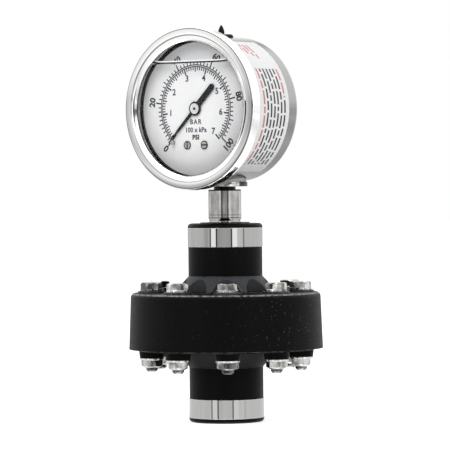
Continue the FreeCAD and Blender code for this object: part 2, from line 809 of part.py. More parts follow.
def window():
    body = new_body("window")
    turn(body, "pane", rectangle("0", "-window_front", "window_radius", "-window_back"), "XY_Plane")
    return body


def window_gasket():
    body = new_body("window_gasket")
    turn(body, "gasket", rectangle("gasket_inner_radius", "-window_back", "window_radius", "-gasket_back"),
         "XY_Plane")
    return body


def fill_plug():
    body = new_body("fill_plug")
    body.setExpression("Placement.Base.y", bound("-plug_offset"))
    top = "case_radius + plug_flange_height"
    turn(body, "flange", [
        ("0", "case_inner_radius"),
        ("plug_flange_diameter / 2", "case_inner_radius"),
        ("plug_flange_diameter / 2", f"{top} - plug_flange_overlap"),
        ("plug_flange_diameter / 2 - plug_flange_overlap", top),
        ("nub_foot_radius", top),
        ("nub_diameter / 2", f"{top} + nub_shoulder", "nub_shoulder", "ccw"),
        ("nub_tip_radius", f"{top} + nub_height", "nub_round", "ccw"),
        ("0", f"{top} + nub_height"),
    ])
    cut_shape(body, "saddle", "XZ_Plane", "0", None, circles=[("0", "0", "case_radius")], both=True)
    turn(body, "tail", rectangle("0", f"{top} - plug_flange_height - plug_tail_length",
                                 "plug_hole_radius - plug_fit", f"{top} - plug_flange_overlap"))
    return body


# Dial and pointer

def dial():
    body = new_body("dial")
    half = "dial_screw_spread / 2"
    shank = "dial_screw_diameter / 2 + dial_screw_fit"
    front_plate_shape(body, "disc", "dial_plane", "dial_thickness", circles=[
        ("0", "0", "dial_radius"),
        ("0", "0", "dial_hole_radius"),
        (half, "-dial_screw_drop", shank),
        (f"-{half}", "-dial_screw_drop", shank),
        (stop_pin_place()[0], stop_pin_place()[1], "stop_pin_diameter / 2"),
    ])
    return body


def stop_pin_place():
    """The stop pin stands beside the pointer's zero line, on the side it falls back to."""
    along = ("-cos((zero_angle - 90) * 1 deg)", "-sin((zero_angle - 90) * 1 deg)")
    across = ("sin((zero_angle - 90) * 1 deg)", "-cos((zero_angle - 90) * 1 deg)")
    return [f"stop_pin_radius * ({a}) + stop_offset * ({b})" for a, b in zip(along, across)]


def stop_pin():
    body = new_body("stop_pin")
    x, z = stop_pin_place()
    front_plate_shape(body, "pin", "dial_plane + stop_pin_height", "stop_pin_height + dial_thickness",
                      circles=[(x, z, "stop_pin_diameter / 2")])
    return body


def dial_screws():
    body = new_body("dial_screws")
    places = [("dial_screw_spread / 2", "-dial_screw_drop"), ("-dial_screw_spread / 2", "-dial_screw_drop")]
    head_front = "dial_plane + dial_screw_head_height"
    front_plate_shape(body, "heads", head_front, "dial_screw_head_height",
                      circles=[(x, z, "dial_screw_head / 2") for x, z in places])
    front_plate_shape(body, "shanks", "dial_plane", "dial_plane - front_plate_back - dial_screw_end",
                      circles=[(x, z, "dial_screw_diameter / 2") for x, z in places])
    (x1, z1), (x2, z2) = places
    long, narrow = "dial_screw_head / 2", "dial_screw_slot / 2"
    cut_shape(body, "slots", "XZ_Plane", head_front, "dial_screw_slot_depth", loops=[
        rectangle(f"{x1} - {long}", f"{z1} - {narrow}", f"{x1} + {long}", f"{z1} + {narrow}"),
        rectangle(f"{x2} - {narrow}", f"{z2} - {long}", f"{x2} + {narrow}", f"{z2} + {long}"),
    ])
    return body


def pointer():
    body = new_body("pointer")
    tail_end = "-pointer_tail_length"
    tail_half = "pointer_tail_width / 2"
    upper = [
        (tail_end, f"{tail_half} - pointer_tail_chamfer"),
        (f"{tail_end} + pointer_tail_chamfer", tail_half),
        ("-bush_sleeve_radius", tail_half),
        ("bush_sleeve_radius", "pointer_root_width / 2"),
        ("pointer_step_radius", "pointer_step_width / 2"),
        ("pointer_step_radius", "pointer_fine_width / 2"),
        ("pointer_length", "pointer_tip_width / 2"),
    ]
    lower = [(x, f"-({y})") for x, y in reversed(upper)]
    front_plate_shape(body, "blade", "pointer_plane", "pointer_thickness", loops=[upper + lower])
    front_plate_shape(body, "hub", "pointer_plane", "pointer_hub_height",
                      circles=[("0", "0", "pointer_hub_diameter / 2")])
    cut_shape(body, "bush_hole", "XZ_Plane", "0", None, both=True,
              circles=[("0", "0", "bush_sleeve_radius")])
    return swing(body, FreeCAD.Vector(0, 1, 0), "zero_angle")


def pointer_bush():
    body = new_body("pointer_bush")
    front = "pointer_plane + bush_head_height"
    front_plate_shape(body, "head", front, "bush_head_height",
                      circles=[("0", "0", "bush_diameter / 2"), ("0", "0", "pinion_shaft_radius")])
    front_plate_shape(body, "sleeve", "pointer_plane", "bush_sleeve_length",
                      circles=[("0", "0", "bush_sleeve_radius"), ("0", "0", "pinion_shaft_radius")])
    cut_shape(body, "slot", "XZ_Plane", front, "bush_head_height / 2",
              loops=[rectangle("bush_sleeve_radius", "-bush_slot / 2", "bush_diameter", "bush_slot / 2")])
    return swing(body, FreeCAD.Vector(0, 1, 0), "zero_angle")


# Movement

def tooth(pitch_radius, half_root):
    """One gear tooth along +X, with straight flanks to the pitch circle and a crowned tip."""
    flank = [
        (f"{pitch_radius} - dedendum * tooth_root_ratio", f"gear_module * {half_root}"),
        (pitch_radius, "gear_module * tooth_half_pitch"),
        (f"{pitch_radius} + addendum", "gear_module * tooth_half_tip"),
    ]
    return [(x, f"-({y})") for x, y in flank] + list(reversed(flank))


def pinion_shaft():
    body = new_body("pinion_shaft")
    front_plate_shape(body, "shaft", "pinion_shaft_front", "pinion_shaft_front - arbor_back",
                      circles=[("0", "0", "pinion_shaft_radius")])
    front_plate_shape(body, "pinion_core", "pinion_front", "pinion_width",
                      circles=[("0", "0", "pinion_pitch_radius - dedendum")])
    leaf = front_plate_shape(body, "leaf", "pinion_front", "pinion_width",
                             loops=[tooth("pinion_pitch_radius", "pinion_half_root")])
    repeat_round(body, "leaves", [leaf], "pinion_teeth", "Y_Axis")
    front_plate_shape(body, "collet", "hairspring_front", "hairspring_width",
                      circles=[("0", "0", "collet_radius")])
    return swing(body, FreeCAD.Vector(0, 1, 0), "90 - 180 / pinion_teeth")


def sector_gear():
    body = new_body("sector_gear", "gauge_centre - gear_centres")
    root = "(sector_pitch_radius - dedendum)"
    step = "360 / sector_full_teeth"
    first = f"(90 + {step} * (sector_lead_teeth + 0.5)) * 1 deg"
    last = f"(90 - {step} * (sector_teeth - sector_lead_teeth - 0.5)) * 1 deg"
    front_plate_shape(body, "web", "sector_front", "sector_thickness", loops=[[
        ("-sector_hub_radius", "0"),
        ("sector_hub_radius", "0"),
        (f"{root} * cos({last})", f"{root} * sin({last})"),
        (f"{root} * cos({first})", f"{root} * sin({first})", root, "ccw"),
    ]])
    front_plate_shape(body, "hub", "sector_front", "sector_thickness",
                      circles=[("0", "0", "sector_hub_radius")])
    along = ("cos(tail_angle * 1 deg)", "-sin(tail_angle * 1 deg)")
    across = ("sin(tail_angle * 1 deg)", "cos(tail_angle * 1 deg)")

    def tail_point(reach, side):
        return tuple(f"({reach}) * ({a}) + ({side}) * ({b})" for a, b in zip(along, across))

    front_plate_shape(body, "tail", "sector_front", "sector_thickness", loops=[[
        tail_point("0", "-tail_half_width"),
        tail_point("tail_length", "-tail_half_width"),
        tail_point("tail_length", "tail_half_width"),
        tail_point("0", "tail_half_width"),
    ]])
    front_plate_shape(body, "tail_eye", "sector_front", "sector_thickness",
                      circles=[("tail_x", "tail_z", "tail_eye_radius")])
    cut_shape(body, "holes", "XZ_Plane", "0", None, both=True,
              circles=[("0", "0", "arbor_radius"),
                       ("tail_x", "tail_z", "link_pin_radius + pivot_clearance")])
    return body


def sector_teeth(body):
    """Teeth of the sector, patterned clockwise from its leading edge."""
    turned = "(90 + 360 / sector_full_teeth * sector_lead_teeth) * 1 deg"
    corners = []
    for x, y in tooth("sector_pitch_radius", "sector_half_root"):
        corners.append((f"({x}) * cos({turned}) - ({y}) * sin({turned})",
                        f"({x}) * sin({turned}) + ({y}) * cos({turned})"))
    first = front_plate_shape(body, "first_tooth", "sector_front", "sector_thickness", loops=[corners])
    repeat_round(body, "teeth", [first], "sector_teeth", "Y_Axis",
                 "360 / sector_full_teeth * (sector_teeth - 1)")
    return body


def sector_arbor():
    body = new_body("sector_arbor", "gauge_centre - gear_centres")
    front_plate_shape(body, "arbor", "arbor_front", "arbor_front - arbor_back",
                      circles=[("0", "0", "arbor_radius")])
    return body


def plate_outline(foot):
    """A movement plate: narrow above the pinion, wide at the foot on the socket block."""
    waist = "-gear_centres * plate_waist_ratio"
    return [
        ("plate_foot_half_width", f"-{foot}"),
        ("plate_foot_half_width", "-gear_centres - tail_half_width"),
        ("plate_half_width", waist),
        ("plate_half_width", "plate_top - plate_half_width"),
        ("0", "plate_top", "plate_half_width", "ccw"),
        ("-plate_half_width", "plate_top - plate_half_width", "plate_half_width", "ccw"),
        ("-plate_half_width", waist),
        ("-plate_foot_half_width", "-gear_centres - tail_half_width"),
        ("-plate_foot_half_width", f"-{foot}"),
    ]


def pivot_holes():
    return [("0", "0", "pinion_shaft_radius + pivot_clearance"),
            ("0", "-gear_centres", "arbor_radius + pivot_clearance")]


def movement_front_plate():
    body = new_body("movement_front_plate")
    half = "dial_screw_spread / 2"
    front_plate_shape(body, "plate", "front_plate_plane", "plate_thickness",
                      loops=[plate_outline("front_plate_foot")])
    posts = [(half, "-dial_screw_drop"), (f"-{half}", "-dial_screw_drop")]
    front_plate_shape(body, "dial_posts", "dial_back", "dial_back - front_plate_plane",
                      circles=[(x, z, "standoff_radius") for x, z in posts])
    cut_shape(body, "holes", "XZ_Plane", "0", None, both=True,
              circles=pivot_holes() + [(x, z, "dial_screw_diameter / 2") for x, z in posts])
    return body


def movement_rear_plate():
    body = new_body("movement_rear_plate")
    half = "movement_screw_spread / 2"
    screws = [(half, "-movement_screw_drop"), (f"-{half}", "-movement_screw_drop")]
    front_plate_shape(body, "plate", "rear_plate_front", "plate_thickness",
                      loops=[plate_outline("rear_plate_foot")],
                      circles=pivot_holes() + [(x, z, "movement_screw_diameter / 2") for x, z in screws])
    return body


def movement_pillars():
    body = new_body("movement_pillars")
    places = [("0", "pillar_top_height"), ("pillar_spread / 2", "-pillar_drop"),
              ("-pillar_spread / 2", "-pillar_drop")]
    front_plate_shape(body, "pillars", "front_plate_back", "front_plate_back - rear_plate_front",
                      circles=[(x, z, "pillar_radius") for x, z in places])
    return body


def movement_screws():
    body = new_body("movement_screws")
    half = "movement_screw_spread / 2"
    places = [(half, "-movement_screw_drop"), (f"-{half}", "-movement_screw_drop")]
    front_plate_shape(body, "heads", "rear_plate_front + movement_screw_head_height",
                      "movement_screw_head_height",
                      circles=[(x, z, "movement_screw_head / 2") for x, z in places])
    front_plate_shape(body, "shanks", "rear_plate_front", "plate_thickness + movement_screw_length",
                      circles=[(x, z, "movement_screw_diameter / 2") for x, z in places])
    return body


def link_ends():
    tail = ("tail_x", "tail_z - gear_centres")
    return [tail, ("tip_x", "tip_z")]


def tip_link():
    body = new_body("tip_link")
    (x1, z1), (x2, z2) = link_ends()
    side_x = "link_half_width * sin(link_angle * 1 deg)"
    side_z = "link_half_width * cos(link_angle * 1 deg)"
    front_plate_shape(body, "bar", "link_front", "link_thickness", loops=[[
        (f"{x1} + {side_x}", f"{z1} - {side_z}"),
        (f"{x2} + {side_x}", f"{z2} - {side_z}"),
        (f"{x2} - {side_x}", f"{z2} + {side_z}"),
        (f"{x1} - {side_x}", f"{z1} + {side_z}"),
    ]])
    front_plate_shape(body, "eyes", "link_front", "link_thickness",
                      circles=[(x1, z1, "link_half_width"), (x2, z2, "link_half_width")])
    cut_shape(body, "pin_holes", "XZ_Plane", "0", None, both=True,
              circles=[(x1, z1, "link_pin_radius"), (x2, z2, "link_pin_radius")])
    return body


def link_pins():
    body = new_body("link_pins")
    tail, tip = link_ends()
    front_plate_shape(body, "tail_pin", "sector_front + link_pin_end",
                      "sector_front - link_back + link_pin_end", circles=[(*tail, "link_pin_radius")])
    front_plate_shape(body, "tip_pin", "link_front", "link_front - ear_back + link_pin_end",
                      circles=[(*tip, "link_pin_radius")])
    return body


def bourdon_tube():
    body = new_body("bourdon_tube")
    turn(body, "tube", tube_section("0"), "XY_Plane", "tube_span", reverse=True,
         inner=tube_section("-tube_wall"))
    return swing(body, FreeCAD.Vector(0, 1, 0), "tube_tip_angle")


def tube_tip():
    body = new_body("tube_tip")
    inner = "tube_radius - tube_height / 2 - tip_border"
    outer = "tube_radius + tube_height / 2 + tip_border"
    half = "tube_width / 2 + tip_border"
    front_plate_shape(body, "cap", half, f"2 * ({half})",
                      loops=[rectangle(inner, "-tip_length", outer, "0")])
    front_plate_shape(body, "riser", "ear_front", f"ear_front - ({half})",
                      loops=[rectangle(inner, "-tip_length", f"{inner} + tip_ear_thickness", "0")])
    lean = "atan2(-tip_z; tip_x) - tube_tip_angle * 1 deg"
    pin = (f"tip_reach * cos({lean})", f"-tip_reach * sin({lean})")
    front_plate_shape(body, "ear", "ear_front", "tip_ear_thickness", loops=[[
        (pin[0], f"{pin[1]} - tip_ear_radius"),
        (f"{inner} + tip_ear_thickness", "-tip_length"),
        (f"{inner} + tip_ear_thickness", "0"),
        (pin[0], f"{pin[1]} + tip_ear_radius"),
    ]])
    front_plate_shape(body, "ear_eye", "ear_front", "tip_ear_thickness", circles=[(*pin, "tip_ear_radius")])
    cut_shape(body, "pin_hole", "XZ_Plane", "0", None, both=True,
              circles=[(*pin, "link_pin_radius + pivot_clearance")])
    return swing(body, FreeCAD.Vector(0, 1, 0), "tube_tip_angle")


def bent_strip(centre, radius, span, turned):
    """A strip of the hairspring bent from +Z round to +X, then turned about the dial's axis."""
    half = value("hairspring_strip") / 2
    width = value("hairspring_width")
    axis = FreeCAD.Vector(0, 1, 0)
    outer = Part.makeCylinder(radius + half, width, FreeCAD.Vector(), axis, span)
    bent = outer.cut(Part.makeCylinder(radius - half, width, FreeCAD.Vector(), axis))
    bent.rotate(FreeCAD.Vector(), axis, turned)
    bent.translate(centre)
    return bent


def hairspring():
    """A flat spiral of half circles from the collet out to a lead on the top pillar."""
    strip = value("hairspring_strip")
    start = value("collet_radius + collet_gap") + strip / 2
    end = start
    pieces = []
    for half_turn in range(2 * int(value("hairspring_turns"))):
        side = -1 if half_turn % 2 else 1
        radius = start + (half_turn + 0.5) * value("hairspring_pitch") / 2
        centre = FreeCAD.Vector(end - side * radius, 0, 0)
        pieces.append(bent_strip(centre, radius, 180, -90 * side))
        end -= side * 2 * radius
    pieces.append(bent_strip(FreeCAD.Vector(), end, 90, 0))
    top = value("pillar_top_height - pillar_radius")
    lead = Part.makeBox(strip, value("hairspring_width"), top - end, FreeCAD.Vector(0, 0, end))
    feature = doc.addObject("Part::Feature", "hairspring")
    feature.Label = "hairspring"
    feature.Shape = pieces[0].fuse(pieces[1:] + [lead]).removeSplitter().Solids[0]
    feature.Placement.Base = FreeCAD.Vector(0, -value("hairspring_front"), value("gauge_centre"))
    return feature


parts = {
    "lower_neck": lower_neck(),
    "lower_housing": lower_housing(),
    "upper_housing": upper_housing(),
    "diaphragm": diaphragm(),
    "lower_neck_ring": neck_ring("lower_neck_ring", "lip_height"),
    "upper_neck_ring": neck_ring("upper_neck_ring", "upper_ring_bottom"),
    "flange_bolts": flange_bolts(),
    "flat_washers": washers("flat_washers", "flange_top", "flat_washer_diameter", "flat_washer_thickness"),
    "lock_washers": washers("lock_washers", "lock_washer_bottom", "lock_washer_diameter",
                            "lock_washer_thickness", "lock_washer_split"),
    "nut_washers": washers("nut_washers", "nut_top", "nut_washer_diameter", "nut_washer_thickness"),
    "flange_nuts": flange_nuts(),
    "gauge_socket": gauge_socket(),
    "stem_collar": stem_collar(),
    "stem_seal": stem_seal(),
    "case_shell": case_shell(),
    "bezel": bezel(),
    "window": window(),
    "window_gasket": window_gasket(),
    "fill_plug": fill_plug(),
    "dial": dial(),
    "dial_screws": dial_screws(),
    "stop_pin": stop_pin(),
    "pointer": pointer(),
    "pointer_bush": pointer_bush(),
    "pinion_shaft": pinion_shaft(),
    "sector_gear": sector_teeth(sector_gear()),
    "sector_arbor": sector_arbor(),
    "movement_front_plate": movement_front_plate(),
    "movement_rear_plate": movement_rear_plate(),
    "movement_pillars": movement_pillars(),
    "movement_screws": movement_screws(),
    "tip_link": tip_link(),
    "link_pins": link_pins(),
    "bourdon_tube": bourdon_tube(),
    "tube_tip": tube_tip(),
    "hairspring": hairspring(),
}
doc.recompute()

for item in doc.Objects:
    if "Invalid" in item.State or "Error" in item.State:
        raise RuntimeError(f"{item.Label} failed to build")
for node, item in parts.items():
    if item.Shape.isNull() or not item.Shape.isValid() or not item.Shape.Solids:
        raise RuntimeError(f"{node} has no valid solid")

os.makedirs("parts", exist_ok=True)
for node, item in parts.items():
    item.Shape.exportStep(f"parts/{node}.step")
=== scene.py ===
"""Looks of a diaphragm seal pressure gauge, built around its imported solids."""

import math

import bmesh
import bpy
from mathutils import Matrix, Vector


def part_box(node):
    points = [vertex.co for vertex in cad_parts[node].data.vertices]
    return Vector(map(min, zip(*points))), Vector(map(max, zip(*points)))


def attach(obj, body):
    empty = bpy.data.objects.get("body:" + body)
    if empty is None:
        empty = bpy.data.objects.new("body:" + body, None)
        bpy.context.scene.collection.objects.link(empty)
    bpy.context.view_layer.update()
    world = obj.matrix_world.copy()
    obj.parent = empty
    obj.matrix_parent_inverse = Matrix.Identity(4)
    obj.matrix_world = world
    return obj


bl_info = {
    "name": "Diaphragm Seal Gauge",
    "version": (1, 0, 0),
    "blender": (4, 5, 0),
    "location": "View3D > Sidebar > Gauge",
    "description": "Finishes, dial print, fill liquid, side label and stage of a pressure gauge",
    "category": "Object",
}

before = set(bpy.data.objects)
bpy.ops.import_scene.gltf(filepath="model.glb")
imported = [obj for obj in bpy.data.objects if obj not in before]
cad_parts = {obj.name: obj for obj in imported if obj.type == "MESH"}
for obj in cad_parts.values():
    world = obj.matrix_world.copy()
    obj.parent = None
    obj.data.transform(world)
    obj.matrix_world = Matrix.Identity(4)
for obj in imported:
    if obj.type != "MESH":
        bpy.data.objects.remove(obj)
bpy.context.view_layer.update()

BODY = "gauge"
MM = 0.001
FULL_TURN = 2 * math.pi
QUARTER_TURN = math.pi / 2
MERGE_REACH = 1e-7
CUT_REACH = 1e-8
RELIEF_DEPTH = 0.05 * MM
EVEN = (1, 1, 1)
WHITE = (1.0, 1.0, 1.0, 1.0)
BLACK = (0.0, 0.0, 0.0, 1.0)

DIAL_LOW, DIAL_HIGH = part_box("dial")
SCREW_LOW, SCREW_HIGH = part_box("dial_screws")
NUT_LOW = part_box("flange_nuts")[0]
WINDOW_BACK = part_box("window")[1].y
GASKET_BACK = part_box("window_gasket")[1].y
DIAL_FRONT = DIAL_LOW.y
GAUGE_MIDDLE = Vector((0.0, 0.0, (DIAL_LOW.z + DIAL_HIGH.z) / 2))
CASE_RADIUS = 30.7 * MM
CASE_INNER_RADIUS = 29.8 * MM
GASKET_INNER_RADIUS = 29.2 * MM

# Level directions: towards the side that the label is on, and square to it.
LABEL_SIDE = Vector((0.793, 0.609, 0.0))
CORNER_SIDE = Vector((0.609, -0.793, 0.0))

# How far print stands over the dial and sinks into it, and a capital's share of the text size.
PRINT_HEIGHT = 0.04 * MM
PRINT_SINK = 0.01 * MM
CAP_SHARE = 0.73
ARC_WIDTH = 0.42 * MM

# Facets of round pieces: the liquid, a scale's arc, the label and one dash on it.
LIQUID_STEPS = 128
ARC_STEPS = 120
LABEL_STEPS = 72
DASH_STEPS = 6


class GaugeFinishSettings(bpy.types.PropertyGroup):
    """Colours of the materials."""

    plastic: bpy.props.FloatVectorProperty(
        name="Plastic", description="Moulded black plastic of the seal housings",
        default=(0.001, 0.00103, 0.00115), subtype="COLOR", size=3)
    ring_steel: bpy.props.FloatVectorProperty(
        name="Ring steel", description="Turned steel of the reinforcing rings",
        default=(0.43, 0.427, 0.42), subtype="COLOR", size=3)
    bezel_steel: bpy.props.FloatVectorProperty(
        name="Bezel steel", description="Polished steel of the bezel",
        default=(0.88, 0.88, 0.875), subtype="COLOR", size=3)
    case_steel: bpy.props.FloatVectorProperty(
        name="Case steel", description="Satin steel of the case",
        default=(0.27, 0.268, 0.262), subtype="COLOR", size=3)
    bolt_steel: bpy.props.FloatVectorProperty(
        name="Bolt steel", description="Tumbled steel of the bolts and nuts",
        default=(0.38, 0.374, 0.362), subtype="COLOR", size=3)
    brass: bpy.props.FloatVectorProperty(
        name="Brass", description="Brass of the movement",
        default=(0.72, 0.52, 0.24), subtype="COLOR", size=3)
    dial: bpy.props.FloatVectorProperty(
        name="Dial", description="White enamel of the dial",
        default=(0.9, 0.9, 0.91), subtype="COLOR", size=3)


class GaugeDialSettings(bpy.types.PropertyGroup):
    """Layout of the dial print."""

    zero_angle: bpy.props.FloatProperty(
        name="Zero angle", description="Angle of the zero mark, counted up from the right",
        default=math.radians(226), subtype="ANGLE")
    sweep: bpy.props.FloatProperty(
        name="Sweep", description="Angle between the first and the last mark",
        default=math.radians(268), subtype="ANGLE")
    full_psi: bpy.props.FloatProperty(
        name="Full scale", description="Pressure at the last mark, in psi", default=100.0)
    full_bar: bpy.props.FloatProperty(
        name="Full scale in bar", description="Pressure at the last mark, in bar", default=6.895)
    psi_radius: bpy.props.FloatProperty(
        name="Outer arc", description="Radius of the outer scale's arc",
        default=18.4 * MM, unit="LENGTH")
    bar_radius: bpy.props.FloatProperty(
        name="Inner arc", description="Radius of the inner scale's arc",
        default=17.7 * MM, unit="LENGTH")
    psi_numerals: bpy.props.FloatProperty(
        name="Outer numerals", description="Radius at the middle of the outer numerals",
        default=23.2 * MM, unit="LENGTH")
    bar_numerals: bpy.props.FloatProperty(
        name="Inner numerals", description="Radius at the middle of the inner numerals",
        default=13.4 * MM, unit="LENGTH")
    psi_ink: bpy.props.FloatVectorProperty(
        name="Outer ink", description="Ink of the outer scale",
        default=(0.008, 0.008, 0.009), subtype="COLOR", size=3)
    bar_ink: bpy.props.FloatVectorProperty(
        name="Inner ink", description="Ink of the inner scale",
        default=(0.016, 0.018, 0.05), subtype="COLOR", size=3)


class GaugeFillSettings(bpy.types.PropertyGroup):
    """Liquid behind the window."""

    level: bpy.props.FloatProperty(
        name="Level", description="Height of the liquid above the middle of the dial",
        default=19.1 * MM, unit="LENGTH")
    # The dark line and the bright line are painted shade and painted highlight at the liquid's edge.
    line: bpy.props.FloatProperty(
        name="Line", description="Height of the dark line at the liquid's edge",
        default=0.7 * MM, unit="LENGTH")
    crest: bpy.props.FloatProperty(
        name="Crest", description="Height of the bright line over the dark one",
        default=0.5 * MM, unit="LENGTH")
    climb: bpy.props.FloatProperty(
        name="Climb", description="How far the liquid's edge climbs the wall",
        default=0.7 * MM, unit="LENGTH")


class GaugeLabelSettings(bpy.types.PropertyGroup):
    """Blank label on the side of the case."""

    start: bpy.props.FloatProperty(
        name="Start", description="Angle of the upper edge, counted from the top of the case",
        default=math.radians(24), subtype="ANGLE")
    end: bpy.props.FloatProperty(
        name="End", description="Angle of the lower edge, counted from the top of the case",
        default=math.radians(150), subtype="ANGLE")
    front: bpy.props.FloatProperty(
        name="Front edge", description="Place of the front edge along the case",
        default=-16.5 * MM, unit="LENGTH")
    back: bpy.props.FloatProperty(
        name="Back edge", description="Place of the back edge along the case",
        default=5.0 * MM, unit="LENGTH")
    thickness: bpy.props.FloatProperty(
        name="Thickness", description="Thickness of the label", default=0.08 * MM, unit="LENGTH")
    rules: bpy.props.IntProperty(
        name="Rules", description="Number of black ruled lines on the label", default=6)
    first_rule: bpy.props.FloatProperty(
        name="First rule", description="Place of the first ruled line along the case",
        default=-9.7 * MM, unit="LENGTH")
    pitch: bpy.props.FloatProperty(
        name="Pitch", description="Distance between ruled lines", default=2.35 * MM, unit="LENGTH")
    rule: bpy.props.FloatProperty(
        name="Rule", description="Width of a ruled line", default=1.05 * MM, unit="LENGTH")


class GaugeStageSettings(bpy.types.PropertyGroup):
    """Camera, floor and light."""

    azimuth: bpy.props.FloatProperty(
        name="Azimuth", description="Camera angle round the part, from the front",
        default=math.radians(37.5), subtype="ANGLE")
    distance: bpy.props.FloatProperty(
        name="Distance", description="Camera distance from the axis", default=1.34, unit="LENGTH")
    height: bpy.props.FloatProperty(
        name="Height", description="Camera height over the floor", default=0.1, unit="LENGTH")
    aim: bpy.props.FloatProperty(
        name="Aim", description="Height that the camera looks at", default=0.0836, unit="LENGTH")
    lens: bpy.props.FloatProperty(
        name="Lens", description="Focal length in millimetres", default=252.0)
    roll: bpy.props.FloatProperty(
        name="Roll", description="Lean of the camera", default=math.radians(-0.55), subtype="ANGLE")
    ambient: bpy.props.FloatProperty(
        name="Ambient", description="Strength of the room light", default=0.65)
    key: bpy.props.FloatProperty(
        name="Key", description="Power of the large lamp, in watts", default=12.0)


def grey(tone):
    """A grey as a colour socket takes it."""
    return (tone, tone, tone, 1.0)


def toned(color, share):
    """The colour times a share, as four numbers."""
    return tuple(channel * share for channel in color) + (1.0,)


def feed(tree, node, inputs):
    """Gives a node its inputs: a socket is linked, and any other value is written in."""
    for name, value in inputs.items():
        if isinstance(value, bpy.types.NodeSocket):
            tree.links.new(value, node.inputs[name])
        else:
            node.inputs[name].default_value = value


def add_node(tree, kind, inputs=None, **settings):
    """A new shader node with its settings and its inputs."""
    node = tree.nodes.new("ShaderNode" + kind)
    for name, value in settings.items():
        setattr(node, name, value)
    feed(tree, node, inputs or {})
    return node


def value_of(tree, operation, *values, clamp=False):
    """The result of a Math node."""
    node = add_node(tree, "Math", dict(enumerate(values)), operation=operation, use_clamp=clamp)
    return node.outputs[0]


def vector_of(tree, operation, *vectors, result="Vector", **named):
    """A result of a Vector Math node."""
    inputs = {**dict(enumerate(vectors)), **named}
    return add_node(tree, "VectorMath", inputs, operation=operation).outputs[result]


def share_of(tree, value, low, high, start=0.0, end=1.0):
    """How far a value has gone from low to high, as a number from start to end."""
    span = add_node(tree, "MapRange", {
        "Value": value, "From Min": low, "From Max": high, "To Min": start, "To Max": end})
    return span.outputs["Result"]


def product(tree, *values):
    """The product of several values."""
    total = values[0]
    for value in values[1:]:
        total = value_of(tree, "MULTIPLY", total, value)
    return total


def within(tree, value, *edges):
    """Where a value lies inside soft edges, each given by its outer and its inner end."""
    return product(tree, *[share_of(tree, value, outer, inner) for outer, inner in edges])


def mixed(tree, factor, plain, other, blend="MIX"):
    """Two colours mixed by a factor."""
    mix = add_node(tree, "Mix", {"Factor": factor, 6: plain, 7: other}, data_type="RGBA",
                   blend_type=blend)
    return mix.outputs[2]


def mixed_shader(tree, factor, plain, other):
    """Two shaders mixed by a factor."""
    return add_node(tree, "MixShader", {0: factor, 1: plain, 2: other}).outputs[0]


def stepped(tree, source, steps):
    """A tone that follows steps along another value."""
    low = steps[0][0]
    span = steps[-1][0] - low
    ramp = add_node(tree, "ValToRGB", {"Fac": share_of(tree, source, low, low + span)})
    marks = ramp.color_ramp.elements
    for step in steps[1:-1]:
        marks.new((step[0] - low) / span)
    for mark, (place, tone) in zip(marks, steps):
        mark.position = (place - low) / span
        mark.color = grey(tone)
    return ramp.outputs["Color"]


def object_place(tree):
    """Where a point lies on the object."""
    return add_node(tree, "TexCoord").outputs["Object"]


def along(tree, direction):
    """How far a point lies along a direction from the stem's middle line, in millimetres."""
    return vector_of(tree, "DOT_PRODUCT", object_place(tree), direction / MM, result="Value")


def mottle_nodes(group, entry):
    """Soft change of tone over a surface, stretched along tool marks."""
    stretched = vector_of(group, "MULTIPLY", object_place(group), entry["Stretch"])
    noise = add_node(group, "TexNoise", {
        "Vector": stretched, "Scale": entry["Scale"], "Detail": 4.0, "Roughness": 0.6})
    centred = value_of(group, "SUBTRACT", noise.outputs["Fac"], 0.5)
    tone = value_of(group, "MULTIPLY_ADD", centred, entry["Contrast"], 0.5, clamp=True)
    return {"Color": mixed(group, tone, entry["Dark Tone"], entry["Light Tone"]), "Tone": tone}


def flecks_nodes(group, entry):
    """Scattered specks of uneven size, as scuffs and dust."""
    cells = add_node(group, "TexVoronoi", {"Vector": object_place(group), "Scale": entry["Scale"]})
    chance = add_node(group, "SeparateColor", {0: cells.outputs["Color"]}).outputs[0]
    reach = product(group, value_of(group, "POWER", chance, 6.0), entry["Reach"])
    share = value_of(group, "DIVIDE", cells.outputs["Distance"], reach)
    return {"Mask": value_of(group, "SUBTRACT", 1.0, share, clamp=True)}


def edge_wear_nodes(group, entry):
    """Worn lines with painted highlight along sharp edges, broken up by noise."""
    rounded = add_node(group, "Bevel", {"Radius": entry["Reach"]}, samples=8).outputs["Normal"]
    plain = add_node(group, "NewGeometry").outputs["Normal"]
    turn = vector_of(group, "DOT_PRODUCT", rounded, plain, result="Value")
    noise = add_node(group, "TexNoise", {
        "Vector": object_place(group), "Scale": entry["Scale"], "Detail": 3.0})
    patches = share_of(group, noise.outputs["Fac"], 0.35, 0.6)
    return {"Mask": product(group, share_of(group, turn, 0.99, 0.88), patches)}


def gauge_place_nodes(group, entry):
    """Radius, depth and height of a point about a centre on the gauge, in millimetres."""
    offset = vector_of(group, "SUBTRACT", object_place(group), entry["Centre"])
    scaled = vector_of(group, "SCALE", offset, Scale=1.0 / MM)
    split = add_node(group, "SeparateXYZ", {0: scaled}).outputs
    flat = vector_of(group, "MULTIPLY", scaled, (-1, 0, -1))
    return {"Radius": vector_of(group, "LENGTH", flat, result="Value"),
            "Front": value_of(group, "MULTIPLY", split["Y"], -1.0),
            "Height": split["Z"],
            "Inward": vector_of(group, "NORMALIZE", flat)}


